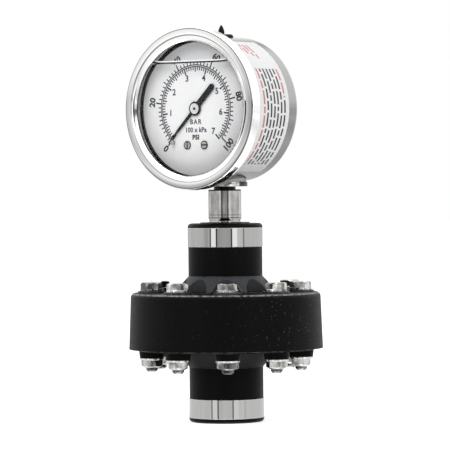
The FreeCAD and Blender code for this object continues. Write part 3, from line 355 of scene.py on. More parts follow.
# The shared effects: what fills each group, and the kinds of its inputs and outputs.
GROUPS = {
    "mottle": (mottle_nodes, {
        "Light Tone": "Color", "Dark Tone": "Color", "Stretch": "Vector", "Scale": "Float",
        "Contrast": "Float"}, {"Color": "Color", "Tone": "Float"}),
    "flecks": (flecks_nodes, {"Scale": "Float", "Reach": "Float"}, {"Mask": "Float"}),
    "edge_wear_and_highlight": (edge_wear_nodes, {"Reach": "Float", "Scale": "Float"}, {"Mask": "Float"}),
    "gauge_place": (gauge_place_nodes, {"Centre": "Vector"}, {
        "Radius": "Float", "Front": "Float", "Height": "Float", "Inward": "Vector"}),
}


def build_group(name):
    """A shader node group with named sockets."""
    fill, inputs, outputs = GROUPS[name]
    group = bpy.data.node_groups.new(name, "ShaderNodeTree")
    for side, sockets in (("INPUT", inputs), ("OUTPUT", outputs)):
        for label, kind in sockets.items():
            group.interface.new_socket(name=label, in_out=side, socket_type="NodeSocket" + kind)
    entry = group.nodes.new("NodeGroupInput")
    feed(group, group.nodes.new("NodeGroupOutput"), fill(group, entry.outputs))
    return group


def place_group(tree, name, values):
    """Outputs of a shared group, built on its first use, set into a material with its own values."""
    group = bpy.data.node_groups.get(name) or build_group(name)
    return add_node(tree, "Group", values, node_tree=group).outputs


def mottled(tree, scale, contrast, light=WHITE, dark=BLACK, stretch=EVEN):
    """A colour that wanders between two tones, and the tone alone."""
    return place_group(tree, "mottle", {
        "Light Tone": light, "Dark Tone": dark, "Stretch": stretch, "Scale": scale,
        "Contrast": contrast})


def gauge_place(material, centre=GAUGE_MIDDLE):
    """Places on a finish about a centre on the gauge."""
    return place_group(material.node_tree, "gauge_place", {"Centre": centre})


def blank_material(name):
    """A material with its Principled shader ready to be set."""
    material = bpy.data.materials.new(name)
    material.use_nodes = True
    return material, material.node_tree, material.node_tree.nodes["Principled BSDF"]


def repaint(material, factor, paint, blend="MIX"):
    """Mixes another colour into a finish's own."""
    tree = material.node_tree
    base = tree.nodes["Principled BSDF"].inputs["Base Color"]
    tree.links.new(mixed(tree, factor, base.links[0].from_socket, paint, blend), base)


def tint_where(material, mask, color):
    """Puts another colour on a finish where a mask says so."""
    repaint(material, mask, tuple(color) + (1.0,))


def shade_with(material, tone):
    """Multiplies a finish's colour by a tone that changes over the surface."""
    repaint(material, 1.0, tone, "MULTIPLY")


def shade_by(material, source, steps):
    """Multiplies a finish's colour by steps along a place on the gauge."""
    shade_with(material, stepped(material.node_tree, source, steps))


def surface(name, color, dark=0.8, stretch=EVEN, scale=900.0, contrast=1.6, rough=(0.3, 0.4),
            bump=0.0, bump_scale=None, metallic=0.0, specular=0.5, flecks=None, edge=0.0):
    """A finish whose colour, roughness and relief all vary over the surface."""
    material, tree, shader = blank_material(name)
    tone = mottled(tree, scale, contrast, toned(color, 1.0), toned(color, dark), stretch)
    relief = mottled(tree, bump_scale or scale, contrast=1.0, stretch=stretch)
    dent = {"Strength": bump, "Distance": RELIEF_DEPTH, "Height": relief["Tone"]}
    if edge:
        dent["Normal"] = add_node(tree, "Bevel", {"Radius": edge}, samples=6).outputs["Normal"]
    feed(tree, shader, {
        "Base Color": tone["Color"],
        "Roughness": share_of(tree, tone["Tone"], 0.0, 1.0, rough[1], rough[0]),
        "Normal": add_node(tree, "Bump", dent).outputs["Normal"],
        "Metallic": metallic, "Specular IOR Level": specular})
    if flecks:
        fleck_scale, reach, paint = flecks
        specks = place_group(tree, "flecks", {"Scale": fleck_scale, "Reach": reach})
        tint_where(material, specks["Mask"], paint)
    return material


def clear_material(name, tint, ior, rough):
    """Glass or liquid that lets the lamps through to what is behind it."""
    material, tree, shader = blank_material(name)
    tone = mottled(tree, scale=160.0, contrast=1.2, light=toned(tint, 1.0), dark=toned(tint, 0.985))
    feed(tree, shader, {
        "Transmission Weight": 1.0, "IOR": ior, "Specular Tint": grey(0.12),
        "Base Color": tone["Color"],
        "Roughness": share_of(tree, tone["Tone"], 0.0, 1.0, rough, 0.0)})
    path = add_node(tree, "LightPath").outputs
    through = value_of(tree, "MAXIMUM", path["Is Shadow Ray"], path["Is Diffuse Ray"])
    open_way = add_node(tree, "BsdfTransparent").outputs[0]
    feed(tree, tree.nodes["Material Output"], {
        "Surface": mixed_shader(tree, through, shader.outputs[0], open_way)})
    return material


def roll_edges(material, place, steps, depth):
    """Turns a finish's normal in towards the gauge's middle line by degrees set for each radius."""
    tree = material.node_tree
    normal = tree.nodes["Principled BSDF"].inputs["Normal"]
    shares = [(radius, (angle + 90) / 180) for radius, angle in steps]
    tilt = share_of(tree, stepped(tree, place["Radius"], shares), 0.0, 1.0, -QUARTER_TURN, QUARTER_TURN)
    inward = vector_of(tree, "SCALE", place["Inward"], Scale=value_of(tree, "SINE", tilt))
    forward = vector_of(tree, "SCALE", (0, -1, 0), Scale=value_of(tree, "COSINE", tilt))
    turned = add_node(tree, "VectorTransform", {0: vector_of(tree, "ADD", inward, forward)},
                      vector_type="NORMAL", convert_from="OBJECT", convert_to="WORLD")
    in_front = value_of(tree, "GREATER_THAN", place["Front"], depth)
    mix = add_node(tree, "Mix", {
        "Factor": in_front, 4: normal.links[0].from_socket, 5: turned.outputs[0]}, data_type="VECTOR")
    tree.links.new(mix.outputs[1], normal)


def dress(material, *nodes):
    """Gives solids of the part a finish, in their own material slots."""
    for name in nodes:
        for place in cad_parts[name].material_slots:
            place.material = material


def keep_piece(name, mesh, material):
    """A finished bmesh becomes a piece that rides on the gauge."""
    bmesh.ops.remove_doubles(mesh, verts=mesh.verts, dist=MERGE_REACH)
    bmesh.ops.recalc_face_normals(mesh, faces=mesh.faces)
    data = bpy.data.meshes.new(name)
    mesh.to_mesh(data)
    mesh.free()
    if not data.polygons:
        raise RuntimeError(name + " came out empty")
    for face in data.polygons:
        face.use_smooth = False
    data.materials.append(material)
    piece = bpy.data.objects.new(name, data)
    bpy.context.scene.collection.objects.link(piece)
    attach(piece, BODY)


def scaled_cube(mesh, middle, size, turn=Matrix.Identity(4)):
    """A block of a size, turned and set at its middle."""
    place = Matrix.Translation(middle) @ turn @ Matrix.Diagonal(tuple(size) + (1.0,))
    bmesh.ops.create_cube(mesh, size=1.0, matrix=place)


def sweep_band(mesh, radii, depths, start, angle, steps):
    """A closed band: a four-cornered section turned about the gauge's middle line."""
    inner, outer = radii
    first, last = depths
    turn = Matrix.Rotation(-start, 3, "Y")
    verts = []
    for radius, depth in ((inner, first), (outer, first), (outer, last), (inner, last)):
        verts.append(mesh.verts.new(GAUGE_MIDDLE + turn @ Vector((radius, depth, 0.0))))
    section = mesh.faces.new(verts)
    bmesh.ops.spin(mesh, geom=[section] + list(section.edges) + verts, cent=GAUGE_MIDDLE,
                   axis=(0, -1, 0), angle=angle, steps=steps)


def on_dial(radius, angle):
    """The middle of print at a radius and an angle counted up from the right."""
    height = (PRINT_HEIGHT - PRINT_SINK) / 2
    return GAUGE_MIDDLE + Vector((
        radius * math.cos(angle), DIAL_FRONT - height, radius * math.sin(angle)))


def print_ticks(mesh, dial, marks, full, radius, outward, kinds):
    """A scale's straight marks, each of the first kind whose step divides its number."""
    for mark in marks:
        angle = dial.zero_angle - dial.sweep * mark / full
        reach, width = next(size for step, *size in kinds if mark % step == 0)
        middle = on_dial(radius + outward * reach / 2, angle)
        scaled_cube(mesh, middle, (reach, PRINT_HEIGHT + PRINT_SINK, width),
                    Matrix.Rotation(-angle, 4, "Y"))


def print_arc(mesh, radius, start, angle):
    """The line that a scale's marks stand on."""
    sweep_band(mesh, (radius - ARC_WIDTH / 2, radius + ARC_WIDTH / 2),
               (DIAL_FRONT + PRINT_SINK, DIAL_FRONT - PRINT_HEIGHT), start, angle, ARC_STEPS)


def print_words(mesh, words, height, radius, angle=-QUARTER_TURN, lean=0.0, weight=0.0, spacing=1.0):
    """Lettering that stands up from the dial as thin print."""
    curve = bpy.data.curves.new("lettering", "FONT")
    curve.body = words
    curve.size = height / CAP_SHARE
    curve.align_x = "CENTER"
    curve.align_y = "CENTER"
    curve.extrude = (PRINT_HEIGHT + PRINT_SINK) / 2
    curve.offset = weight
    curve.space_character = spacing
    curve.resolution_u = 3
    holder = bpy.data.objects.new("lettering", curve)
    bpy.context.scene.collection.objects.link(holder)
    graph = bpy.context.evaluated_depsgraph_get()
    data = bpy.data.meshes.new_from_object(holder.evaluated_get(graph))
    place = Matrix.Translation(on_dial(radius, angle)) @ Matrix.Rotation(lean, 4, "Y")
    data.transform(place @ Matrix.Rotation(QUARTER_TURN, 4, "X"))
    mesh.from_mesh(data)
    bpy.data.objects.remove(holder)
    bpy.data.curves.remove(curve)
    bpy.data.meshes.remove(data)


class GAUGE_OT_housings(bpy.types.Operator):
    """Moulded plastic of the seal housings, and the membrane between them."""

    bl_idname = "gauge.housings"
    bl_label = "Finish Housings"

    MOULDED = {"dark": 0.6, "scale": 420.0, "rough": (0.36, 0.5), "bump_scale": 2600.0,
               "specular": 0.056, "edge": 0.35 * MM}
    FLECKS = (1100.0, 0.16, (0.04, 0.04, 0.04))
    UPPER_WEAR = (0.17, 0.17, 0.172)
    LOWER_WEAR = (0.06, 0.06, 0.061)
    DUST = (0.06, 0.06, 0.06)
    SCUFF = (0.14, 0.14, 0.14)
    RUB = (0.3, 0.3, 0.3)
    # Heights from the gauge's middle: a painted highlight on the cone at the top of the cap, a pale
    # line of painted highlight in patches round the skirt's top edge, and the skirt.
    TOP_TONES = (
        (-90.0, 1.0), (-77.4, 1.0), (-77.0, 38.0), (-72.0, 46.0), (-71.0, 40.0), (-70.7, 1.0),
        (-40.0, 1.0))
    RUBBED_EDGE = (
        (-80.0, 0.0), (-78.5, 0.0), (-78.3, 1.0), (-77.95, 1.0), (-77.8, 0.0), (-77.0, 0.0))
    SKIRT_EDGE = (-77.5, -77.8)
    HANDLED_SIDE = (-10.0, 30.0)

    def execute(self, context):
        color = context.scene.gauge_finish.plastic
        upper = surface("moulded_black", color, bump=0.25, **self.MOULDED)
        height = gauge_place(upper)["Height"]
        shade_by(upper, height, self.TOP_TONES)
        self.scuff(upper, height)
        self.wear(upper, self.UPPER_WEAR)
        dress(upper, "upper_housing")
        lower = surface("moulded_black_plain", color, bump=0.2, flecks=self.FLECKS, **self.MOULDED)
        self.wear(lower, self.LOWER_WEAR)
        dress(lower, "lower_housing", "lower_neck")
        dress(surface("membrane_rubber", (0.02, 0.02, 0.021), dark=0.7, scale=700.0,
                      rough=(0.5, 0.65), bump=0.2), "diaphragm")
        return {"FINISHED"}

    def wear(self, material, color):
        """Grey lines along the moulding's sharp edges: wear where they have rubbed, with painted
        highlight.
        """
        edge = place_group(material.node_tree, "edge_wear_and_highlight", {"Reach": 0.45 * MM, "Scale": 500.0})
        tint_where(material, edge["Mask"], color)

    def scuff(self, material, height):
        """Dust all over, scuffs on the skirt's handled side and a painted highlight in patches round
        its top edge.
        """
        tree = material.node_tree
        dust = place_group(tree, "flecks", {"Scale": 1500.0, "Reach": 0.3})["Mask"]
        tint_where(material, dust, self.DUST)
        specks = place_group(tree, "flecks", {"Scale": 1300.0, "Reach": 0.42})["Mask"]
        skirt = share_of(tree, height, *self.SKIRT_EDGE)
        handled = share_of(tree, along(tree, LABEL_SIDE), *self.HANDLED_SIDE)
        tint_where(material, product(tree, specks, skirt, handled), self.SCUFF)
        edge = stepped(tree, height, self.RUBBED_EDGE)
        patches = mottled(tree, scale=700.0, contrast=3.0)["Tone"]
        tint_where(material, product(tree, edge, patches), self.RUB)


class GAUGE_OT_rings(bpy.types.Operator):
    """Turned steel rings on the two necks."""

    bl_idname = "gauge.rings"
    bl_label = "Finish Rings"

    def execute(self, context):
        color = context.scene.gauge_finish.ring_steel
        # The lower ring's copy of the steel is made brighter: painted light.
        for name, share in (("upper_neck_ring", 1.0), ("lower_neck_ring", 1.16)):
            dress(surface("turned_steel_" + name, toned(color, share)[:3], dark=0.86,
                          stretch=(5.0, 5.0, 0.25), scale=190.0, contrast=1.6, rough=(0.03, 0.06),
                          bump=0.02, metallic=1.0, edge=0.3 * MM,
                          flecks=(420.0, 0.12, (0.3, 0.3, 0.29))), name)
        return {"FINISHED"}


class GAUGE_OT_fasteners(bpy.types.Operator):
    """Bolts, nuts and washers of the flange."""

    bl_idname = "gauge.fasteners"
    bl_label = "Finish Fasteners"

    # Heights from the nuts' lower faces: painted shade darkens the studs' ends below them.
    STUD_TONES = ((-6.0, 0.22), (-0.1, 0.3), (0.1, 1.0), (60.0, 1.0))

    def execute(self, context):
        color = context.scene.gauge_finish.bolt_steel
        steel = surface("tumbled_steel", color, dark=0.6, scale=300.0, contrast=2.4,
                        rough=(0.08, 0.18), bump=0.06, metallic=1.0, edge=0.25 * MM)
        # Painted reflections: facets made brighter and darker at random.
        facet_glints = mottled(steel.node_tree, scale=170.0, contrast=4.0, light=grey(2.5),
                         dark=grey(0.35), stretch=(1, 1, 0.7))
        shade_with(steel, facet_glints["Color"])
        shade_by(steel, gauge_place(steel, NUT_LOW)["Height"], self.STUD_TONES)
        dress(steel, "flange_bolts", "flange_nuts", "lock_washers")
        dress(surface("bright_washer", (0.8, 0.795, 0.78), dark=0.7, scale=500.0, contrast=1.8,
                      rough=(0.12, 0.22), bump=0.06, metallic=1.0, edge=0.2 * MM), "nut_washers")
        dress(surface("washer_steel_dark", (0.08, 0.08, 0.08), dark=0.3, scale=700.0, contrast=2.0,
                      rough=(0.3, 0.5), bump=0.2, metallic=1.0), "flat_washers")
        return {"FINISHED"}


class GAUGE_OT_socket(bpy.types.Operator):
    """Square stem of the gauge, its collar and the sealant at its thread."""

    bl_idname = "gauge.socket"
    bl_label = "Finish Socket"

    # Heights from the gauge's middle: painted shade in two grooves, and painted shade under the case.
    STEM_TONES = (
        (-50.0, 1.0), (-46.3, 1.0), (-46.2, 0.3), (-45.95, 0.3), (-45.85, 1.0), (-45.05, 1.0),
        (-44.95, 0.4), (-44.75, 0.4), (-44.65, 1.0), (-34.7, 1.0), (-34.6, 0.03), (-30.0, 0.03))
    # Places across the stem: a painted highlight and a dark painted reflection line by each of its
    # edges.
    FACE_TONES = (
        (-9.0, 1.0), (-2.6, 1.0), (-2.2, 1.3), (-1.65, 1.3), (-1.5, 0.3), (-1.0, 0.3),
        (-0.85, 0.9), (0.95, 0.9), (1.1, 0.3), (1.6, 0.3), (1.75, 1.3), (2.3, 1.3), (2.7, 1.0),
        (9.0, 1.0))
    # Places across the collar towards the label side: painted shade on its far end.
    COLLAR_TONES = ((-10.0, 1.0), (6.0, 1.0), (6.4, 0.1), (10.0, 0.1))

    def execute(self, context):
        steel = surface("milled_steel", (0.5, 0.496, 0.485), dark=0.55, stretch=(1.8, 1.8, 0.2),
                        scale=620.0, contrast=2.4, rough=(0.1, 0.22), bump=0.2, metallic=1.0,
                        edge=0.25 * MM)
        stain = mottled(steel.node_tree, scale=210.0, contrast=3.0, light=grey(1.15),
                        dark=(0.7, 0.69, 0.68, 1.0), stretch=(1, 1, 0.6))
        shade_with(steel, stain["Color"])
        shade_by(steel, gauge_place(steel)["Height"], self.STEM_TONES)
        for direction in (LABEL_SIDE, CORNER_SIDE):
            shade_by(steel, along(steel.node_tree, direction), self.FACE_TONES)
        dress(steel, "gauge_socket")
        collar = surface("collar_steel", (0.66, 0.65, 0.63), dark=0.12, stretch=(0.5, 0.5, 2.0),
                         scale=420.0, contrast=3.6, rough=(0.2, 0.38), bump=0.3, metallic=1.0)
        shade_by(collar, along(collar.node_tree, LABEL_SIDE), self.COLLAR_TONES)
        dress(collar, "stem_collar")
        dress(surface("thread_seal", (0.5, 0.49, 0.48), dark=0.4, scale=900.0, contrast=2.4,
                      rough=(0.35, 0.55), bump=0.4), "stem_seal")
        return {"FINISHED"}


class GAUGE_OT_case(bpy.types.Operator):
    """Satin case, polished bezel and the black fill plug."""

    bl_idname = "gauge.case"
    bl_label = "Finish Case"

    # Radii on the bezel: the tone, with painted shade and reflection as dark lines at the lip, the step
    # and a groove and as a darker outer band, and the lean of the rolled metal in degrees, in front of
    # a depth.
    BEZEL_TONES = (
        (28.0, 0.05), (28.3, 0.05), (28.4, 0.9), (30.5, 0.95), (30.6, 0.32), (31.0, 0.32),
        (31.1, 0.78), (32.0, 0.62), (33.2, 0.52), (33.35, 0.2), (33.75, 0.2), (33.9, 1.0),
        (34.5, 1.0))
    BEZEL_LEAN = (
        (28.0, 52), (28.4, 47), (28.8, 44), (29.35, 32), (29.45, 26.3), (29.5, 25.55),
        (30.05, 24.25), (30.38, 23), (30.43, 12.5), (30.5, 2), (30.6, 20), (31.0, 20), (31.1, -4),
        (32.0, -6), (32.6, -8), (33.2, -12), (33.5, -16), (33.7, -25), (33.9, -45), (34.1, -60),
        (34.5, -90))
    BEZEL_DEPTH = 21.0
    # Heights on the case: painted shade makes its lower side darker.
    CASE_TONES = (
        (-31.0, 0.78), (-27.0, 0.78), (-25.0, 0.66), (-21.0, 0.7), (-14.0, 1.0), (31.0, 1.0))
    # The inner wall, by its radius and how far it reaches forward, and the part at its mouth with a
    # painted highlight.
    WALL_EDGE = (CASE_INNER_RADIUS / MM + 0.3, CASE_INNER_RADIUS / MM + 0.2)
    WALL_BACK = (-8.0, -7.5)
    MOUTH_EDGE = (17.15, 17.3)
    WALL_DARK = (0.02, 0.02, 0.02)
    MOUTH_PALE = (0.85, 0.85, 0.85)

    def execute(self, context):
        finish = context.scene.gauge_finish
        polish = surface("bezel_polish", finish.bezel_steel, dark=0.96, scale=240.0, contrast=1.2,
                         rough=(0.04, 0.08), bump=0.01, bump_scale=120.0, metallic=1.0)
        place = gauge_place(polish)
        shade_by(polish, place["Radius"], self.BEZEL_TONES)
        roll_edges(polish, place, self.BEZEL_LEAN, self.BEZEL_DEPTH)
        dress(polish, "bezel")
        satin = surface("case_satin", finish.case_steel, dark=0.93, stretch=(0.3, 4.0, 0.3),
                        scale=420.0, contrast=1.3, rough=(0.16, 0.24), bump=0.05, metallic=1.0)
        place = gauge_place(satin)
        self.line_case(satin, place)
        shade_by(satin, place["Height"], self.CASE_TONES)
        dress(satin, "case_shell")
        dress(surface("plug_rubber", (0.004, 0.004, 0.004), dark=0.6, scale=900.0,
                      rough=(0.45, 0.6), bump=0.2, specular=0.1), "fill_plug")
        return {"FINISHED"}

    def line_case(self, satin, place):
        """Painted shade on the matt wall inside the case, and a painted highlight at its mouth."""
        tree = satin.node_tree
        wall = share_of(tree, place["Radius"], *self.WALL_EDGE)
        inside = product(tree, wall, share_of(tree, place["Front"], *self.WALL_BACK))
        tint_where(satin, inside, self.WALL_DARK)
        mouth = share_of(tree, place["Front"], *self.MOUTH_EDGE)
        tint_where(satin, product(tree, inside, mouth), self.MOUTH_PALE)
        rough = tree.nodes["Principled BSDF"].inputs["Roughness"]
        tree.links.new(value_of(tree, "MAXIMUM", rough.links[0].from_socket, inside), rough)


class GAUGE_OT_window(bpy.types.Operator):
    """Clear window and its dark gasket."""

    bl_idname = "gauge.window"
    bl_label = "Finish Window"

    # The gasket's inner lip is painted pale as a highlight.
    LIP_EDGE = (GASKET_INNER_RADIUS / MM + 0.08, GASKET_INNER_RADIUS / MM + 0.04)
    LIP_PALE = (0.5, 0.5, 0.5)

    def execute(self, context):
        dress(clear_material("window_pane", (0.985, 0.99, 0.99), 1.49, 0.015), "window")
        gasket = surface("gasket_rubber", (0.006, 0.006, 0.006), dark=0.5, scale=900.0,
                         rough=(0.35, 0.5), bump=0.15, specular=0.3)
        lip = share_of(gasket.node_tree, gauge_place(gasket)["Radius"], *self.LIP_EDGE)
        tint_where(gasket, lip, self.LIP_PALE)
        dress(gasket, "window_gasket")
        return {"FINISHED"}


class GAUGE_OT_dial(bpy.types.Operator):
    """Enamelled dial with its screws and stop pin."""

    bl_idname = "gauge.dial"
    bl_label = "Finish Dial"

    # Radii on the dial: painted light falling off slowly from a bright spot, and painted shade on the
    # rim.
    BRIGHT_SPOT = Vector((-3.0, 0.0, 3.0)) * MM
    DIAL_TONES = (
        (0.0, 0.92), (12.0, 0.92), (20.0, 0.85), (24.5, 0.75), (28.0, 0.62), (33.0, 0.55))
    RIM_TONES = ((0.0, 1.0), (28.05, 1.0), (28.15, 0.03), (29.0, 0.03))
    # Distance in front of the middle: painted shade on the screws' sides and slots, so only the screws'
    # heads and the pin's end are bright.
    HEAD_TONES = ((16.0, 0.03), (17.25, 0.03), (17.35, 1.0), (20.0, 1.0))
    # Distance from the edge of a screw's head, whose rim is painted dark as shade.
    HEAD_EDGE = ((-0.45, 1.0), (-0.35, 0.05), (0.1, 0.05), (0.2, 1.0), (9.0, 1.0))

    def execute(self, context):
        color = context.scene.gauge_finish.dial
        enamel = surface("dial_enamel", color, dark=0.965, scale=260.0, contrast=1.5,
                         rough=(0.42, 0.55), bump=0.02, specular=0.3)
        lit = gauge_place(enamel, GAUGE_MIDDLE + self.BRIGHT_SPOT)
        shade_by(enamel, lit["Radius"], self.DIAL_TONES)
        shade_by(enamel, gauge_place(enamel)["Radius"], self.RIM_TONES)
        dress(enamel, "dial")
        steel = surface("screw_steel", (0.5, 0.49, 0.47), dark=0.55, scale=1500.0, contrast=2.0,
                        rough=(0.2, 0.4), bump=0.2, metallic=1.0)
        shade_by(steel, gauge_place(steel)["Front"], self.HEAD_TONES)
        reach = (SCREW_HIGH.z - SCREW_LOW.z) / 2
        steps = [(0.0, 1.0)] + [(reach / MM + place, tone) for place, tone in self.HEAD_EDGE]
        for middle in (SCREW_LOW.x + reach, SCREW_HIGH.x - reach):
            centre = Vector((middle, 0.0, SCREW_LOW.z + reach))
            shade_by(steel, gauge_place(steel, centre)["Radius"], steps)
        dress(steel, "dial_screws", "stop_pin")
        return {"FINISHED"}


class GAUGE_OT_pointer(bpy.types.Operator):
    """Black pointer on its pale bush, with the pinion shaft."""

    bl_idname = "gauge.pointer"
    bl_label = "Finish Pointer"

    def execute(self, context):
        dress(surface("pointer_lacquer", (0.003, 0.003, 0.003), dark=0.6, scale=900.0,
                      rough=(0.35, 0.5), bump=0.05, specular=0.12), "pointer")
        dress(surface("bush_steel", (0.78, 0.775, 0.76), dark=0.8, scale=1400.0, contrast=1.8,
                      rough=(0.25, 0.4), bump=0.1, metallic=1.0), "pointer_bush")
        dress(surface("shaft_steel", (0.05, 0.05, 0.05), dark=0.5, scale=1400.0, contrast=1.8,
                      rough=(0.3, 0.45), bump=0.1, metallic=1.0), "pinion_shaft")
        return {"FINISHED"}


class GAUGE_OT_movement(bpy.types.Operator):
    """Brass movement, its link and the pressure tube behind the dial."""

    bl_idname = "gauge.movement"
    bl_label = "Finish Movement"

    def execute(self, context):
        color = context.scene.gauge_finish.brass
        dress(surface("movement_brass", color, dark=0.8, stretch=(1.0, 1.0, 4.0), scale=700.0,
                      contrast=1.6, rough=(0.22, 0.36), bump=0.08, metallic=1.0),
              "sector_gear", "movement_front_plate", "movement_rear_plate", "movement_pillars")
        dress(surface("tube_bronze", (0.64, 0.42, 0.24), dark=0.75, scale=500.0, contrast=1.8,
                      rough=(0.25, 0.4), bump=0.06, metallic=1.0), "bourdon_tube", "tube_tip")
        dress(surface("small_steel", (0.56, 0.555, 0.54), dark=0.7, scale=1300.0, contrast=1.8,
                      rough=(0.2, 0.36), bump=0.08, metallic=1.0),
              "sector_arbor", "movement_screws", "tip_link", "link_pins")
        dress(surface("spring_bronze", (0.7, 0.5, 0.28), dark=0.8, scale=1500.0, contrast=1.5,
                      rough=(0.2, 0.32), bump=0.05, metallic=1.0), "hairspring")
        return {"FINISHED"}


class GAUGE_OT_psi_scale(bpy.types.Operator):
    """Outer scale with its numerals and its unit, in black."""

    bl_idname = "gauge.psi_scale"
    bl_label = "Print Outer Scale"

    # Every how many psi a kind of mark comes, its length and its width.
    MARKS = ((20, 2.9 * MM, 0.6 * MM), (10, 2.2 * MM, 0.5 * MM), (2, 1.5 * MM, 0.5 * MM))
    LAST_MARK = 100
    NUMERAL_HEIGHT = 2.9 * MM
    UNIT_HEIGHT = 2.0 * MM
    UNIT_RADIUS = 12.1 * MM
    # Numerals whose angle has a sine under this stand on their heads, so they are turned.
    TURN_BELOW = -0.5

    def execute(self, context):
        dial = context.scene.gauge_dial
        mesh = bmesh.new()
        print_arc(mesh, dial.psi_radius, dial.zero_angle - dial.sweep, dial.sweep)
        print_ticks(mesh, dial, range(0, self.LAST_MARK + 1, self.MARKS[-1][0]), dial.full_psi,
                    dial.psi_radius, 1, self.MARKS)
        for mark in range(0, self.LAST_MARK + 1, self.MARKS[0][0]):
            angle = dial.zero_angle - dial.sweep * mark / dial.full_psi
            lean = QUARTER_TURN - angle
            if math.sin(angle) < self.TURN_BELOW:
                lean += math.pi
            print_words(mesh, str(mark), self.NUMERAL_HEIGHT, dial.psi_numerals, angle, lean,
                        weight=0.16 * MM)
        print_words(mesh, "PSI", self.UNIT_HEIGHT, self.UNIT_RADIUS, weight=0.15 * MM, spacing=1.12)
        ink = surface("scale_ink_black", dial.psi_ink, dark=0.7, scale=2600.0, rough=(0.4, 0.55))
        keep_piece("print_outer_scale", mesh, ink)
        return {"FINISHED"}


class GAUGE_OT_bar_scale(bpy.types.Operator):
    """Inner scale with its numerals and its units, in dark blue."""

    bl_idname = "gauge.bar_scale"
    bl_label = "Print Inner Scale"

    # Every how many tenths of a bar a kind of mark comes, its length and its width.
    MARKS = ((10, 2.6 * MM, 0.7 * MM), (5, 2.1 * MM, 0.54 * MM), (1, 1.5 * MM, 0.5 * MM))
    LAST_BAR = 7
    NUMERAL_HEIGHT = 2.7 * MM
    UNIT_HEIGHT = 2.1 * MM
    BAR_RADIUS = 5.6 * MM
    KPA_RADIUS = 9.0 * MM

    def execute(self, context):
        dial = context.scene.gauge_dial
        mesh = bmesh.new()
        span = dial.sweep * self.LAST_BAR / dial.full_bar
        print_arc(mesh, dial.bar_radius, dial.zero_angle - span, span)
        print_ticks(mesh, dial, range(0, 10 * self.LAST_BAR + 1), 10 * dial.full_bar,
                    dial.bar_radius, -1, self.MARKS)
        for mark in range(1, self.LAST_BAR + 1):
            angle = dial.zero_angle - dial.sweep * mark / dial.full_bar
            print_words(mesh, str(mark), self.NUMERAL_HEIGHT, dial.bar_numerals, angle, weight=0.1 * MM)
        print_words(mesh, "BAR", self.UNIT_HEIGHT, self.BAR_RADIUS, weight=0.08 * MM, spacing=1.25)
        print_words(mesh, "100 x kPa", self.UNIT_HEIGHT, self.KPA_RADIUS, weight=0.08 * MM)
        ink = surface("scale_ink_blue", dial.bar_ink, dark=0.7, scale=2600.0, rough=(0.4, 0.55))
        keep_piece("print_inner_scale", mesh, ink)
        return {"FINISHED"}


class GAUGE_OT_liquid(bpy.types.Operator):
    """Clear damping liquid behind the window, with a dark line of painted shade and a line of painted
    highlight over it at its level.
    """

    bl_idname = "gauge.liquid"
    bl_label = "Pour Liquid"

    # Gap to the window, lap into the walls round the liquid, and reach past the dial's front.
    WINDOW_GAP = 0.02 * MM
    LAP = 0.05 * MM
    DIAL_LAP = 0.1 * MM
    # The lines' place behind the liquid's front, their depth, and how they bend up at the ends.
    LINE_PLACE = 0.1 * MM
    LINE_DEPTH = 0.16 * MM
    LINE_CUTS = 31
    BEND_POWER = 10

    def execute(self, context):
        fill = context.scene.gauge_fill
        front = WINDOW_BACK + self.WINDOW_GAP
        level = GAUGE_MIDDLE.z + fill.level
        self.pour(front, level)
        # A dark sheet of painted shade and a pale sheet of painted highlight stand in for the liquid's
        # edge.
        line = surface("level_line_painted_shade", (0.006, 0.006, 0.008), dark=0.5, scale=900.0, rough=(0.2, 0.3))
        crest = surface("level_crest_painted_highlight", (0.95, 0.95, 0.96), dark=0.9, scale=900.0, rough=(0.2, 0.3))
        for name, low, high, paint in (("fill_line_painted_shade", 0.0, fill.line, line),
                                       ("fill_crest_painted_highlight", fill.line, fill.line + fill.crest, crest)):
            reach = GASKET_INNER_RADIUS - self.LAP
            half = math.sqrt(reach ** 2 - (fill.level + high + fill.climb) ** 2)
            middle = Vector((0.0, front + self.LINE_PLACE, level + (low + high) / 2))
            mesh = bmesh.new()
            scaled_cube(mesh, middle, (2 * half, self.LINE_DEPTH, high - low))
            lengthwise = [edge for edge in mesh.edges
                          if abs((edge.verts[0].co - edge.verts[1].co).x) > half]
            bmesh.ops.subdivide_edges(mesh, edges=lengthwise, cuts=self.LINE_CUTS, use_grid_fill=True)
            for vert in mesh.verts:
                vert.co.z += fill.climb * abs(vert.co.x / half) ** self.BEND_POWER
            keep_piece(name, mesh, paint)
        return {"FINISHED"}

    def pour(self, front, level):
        """The body of liquid: a round plug that fits the case, cut off at its level."""
        back = DIAL_FRONT + self.DIAL_LAP
        neck = GASKET_INNER_RADIUS + self.LAP
        belly = CASE_INNER_RADIUS + self.LAP
        profile = [(0.0, front), (neck, front), (neck, GASKET_BACK), (belly, GASKET_BACK),
                   (belly, back), (0.0, back)]
        mesh = bmesh.new()
        verts = [mesh.verts.new(GAUGE_MIDDLE + Vector((r, y, 0.0))) for r, y in profile]
        edges = [mesh.edges.new(pair) for pair in zip(verts, verts[1:])]
        bmesh.ops.spin(mesh, geom=verts + edges, cent=GAUGE_MIDDLE, axis=(0, 1, 0),
                       angle=FULL_TURN, steps=LIQUID_STEPS, use_merge=True)
        bmesh.ops.remove_doubles(mesh, verts=mesh.verts, dist=MERGE_REACH)
        cut = bmesh.ops.bisect_plane(
            mesh, geom=list(mesh.verts) + list(mesh.edges) + list(mesh.faces), dist=CUT_REACH,
            plane_co=(0, 0, level), plane_no=(0, 0, 1), clear_outer=True)
        rim = [item for item in cut["geom_cut"] if isinstance(item, bmesh.types.BMEdge)]
        bmesh.ops.contextual_create(mesh, geom=rim)
        oil = clear_material("clear_oil", (0.995, 0.99, 0.98), 1.47, 0.0)
        keep_piece("fill_liquid", mesh, oil)


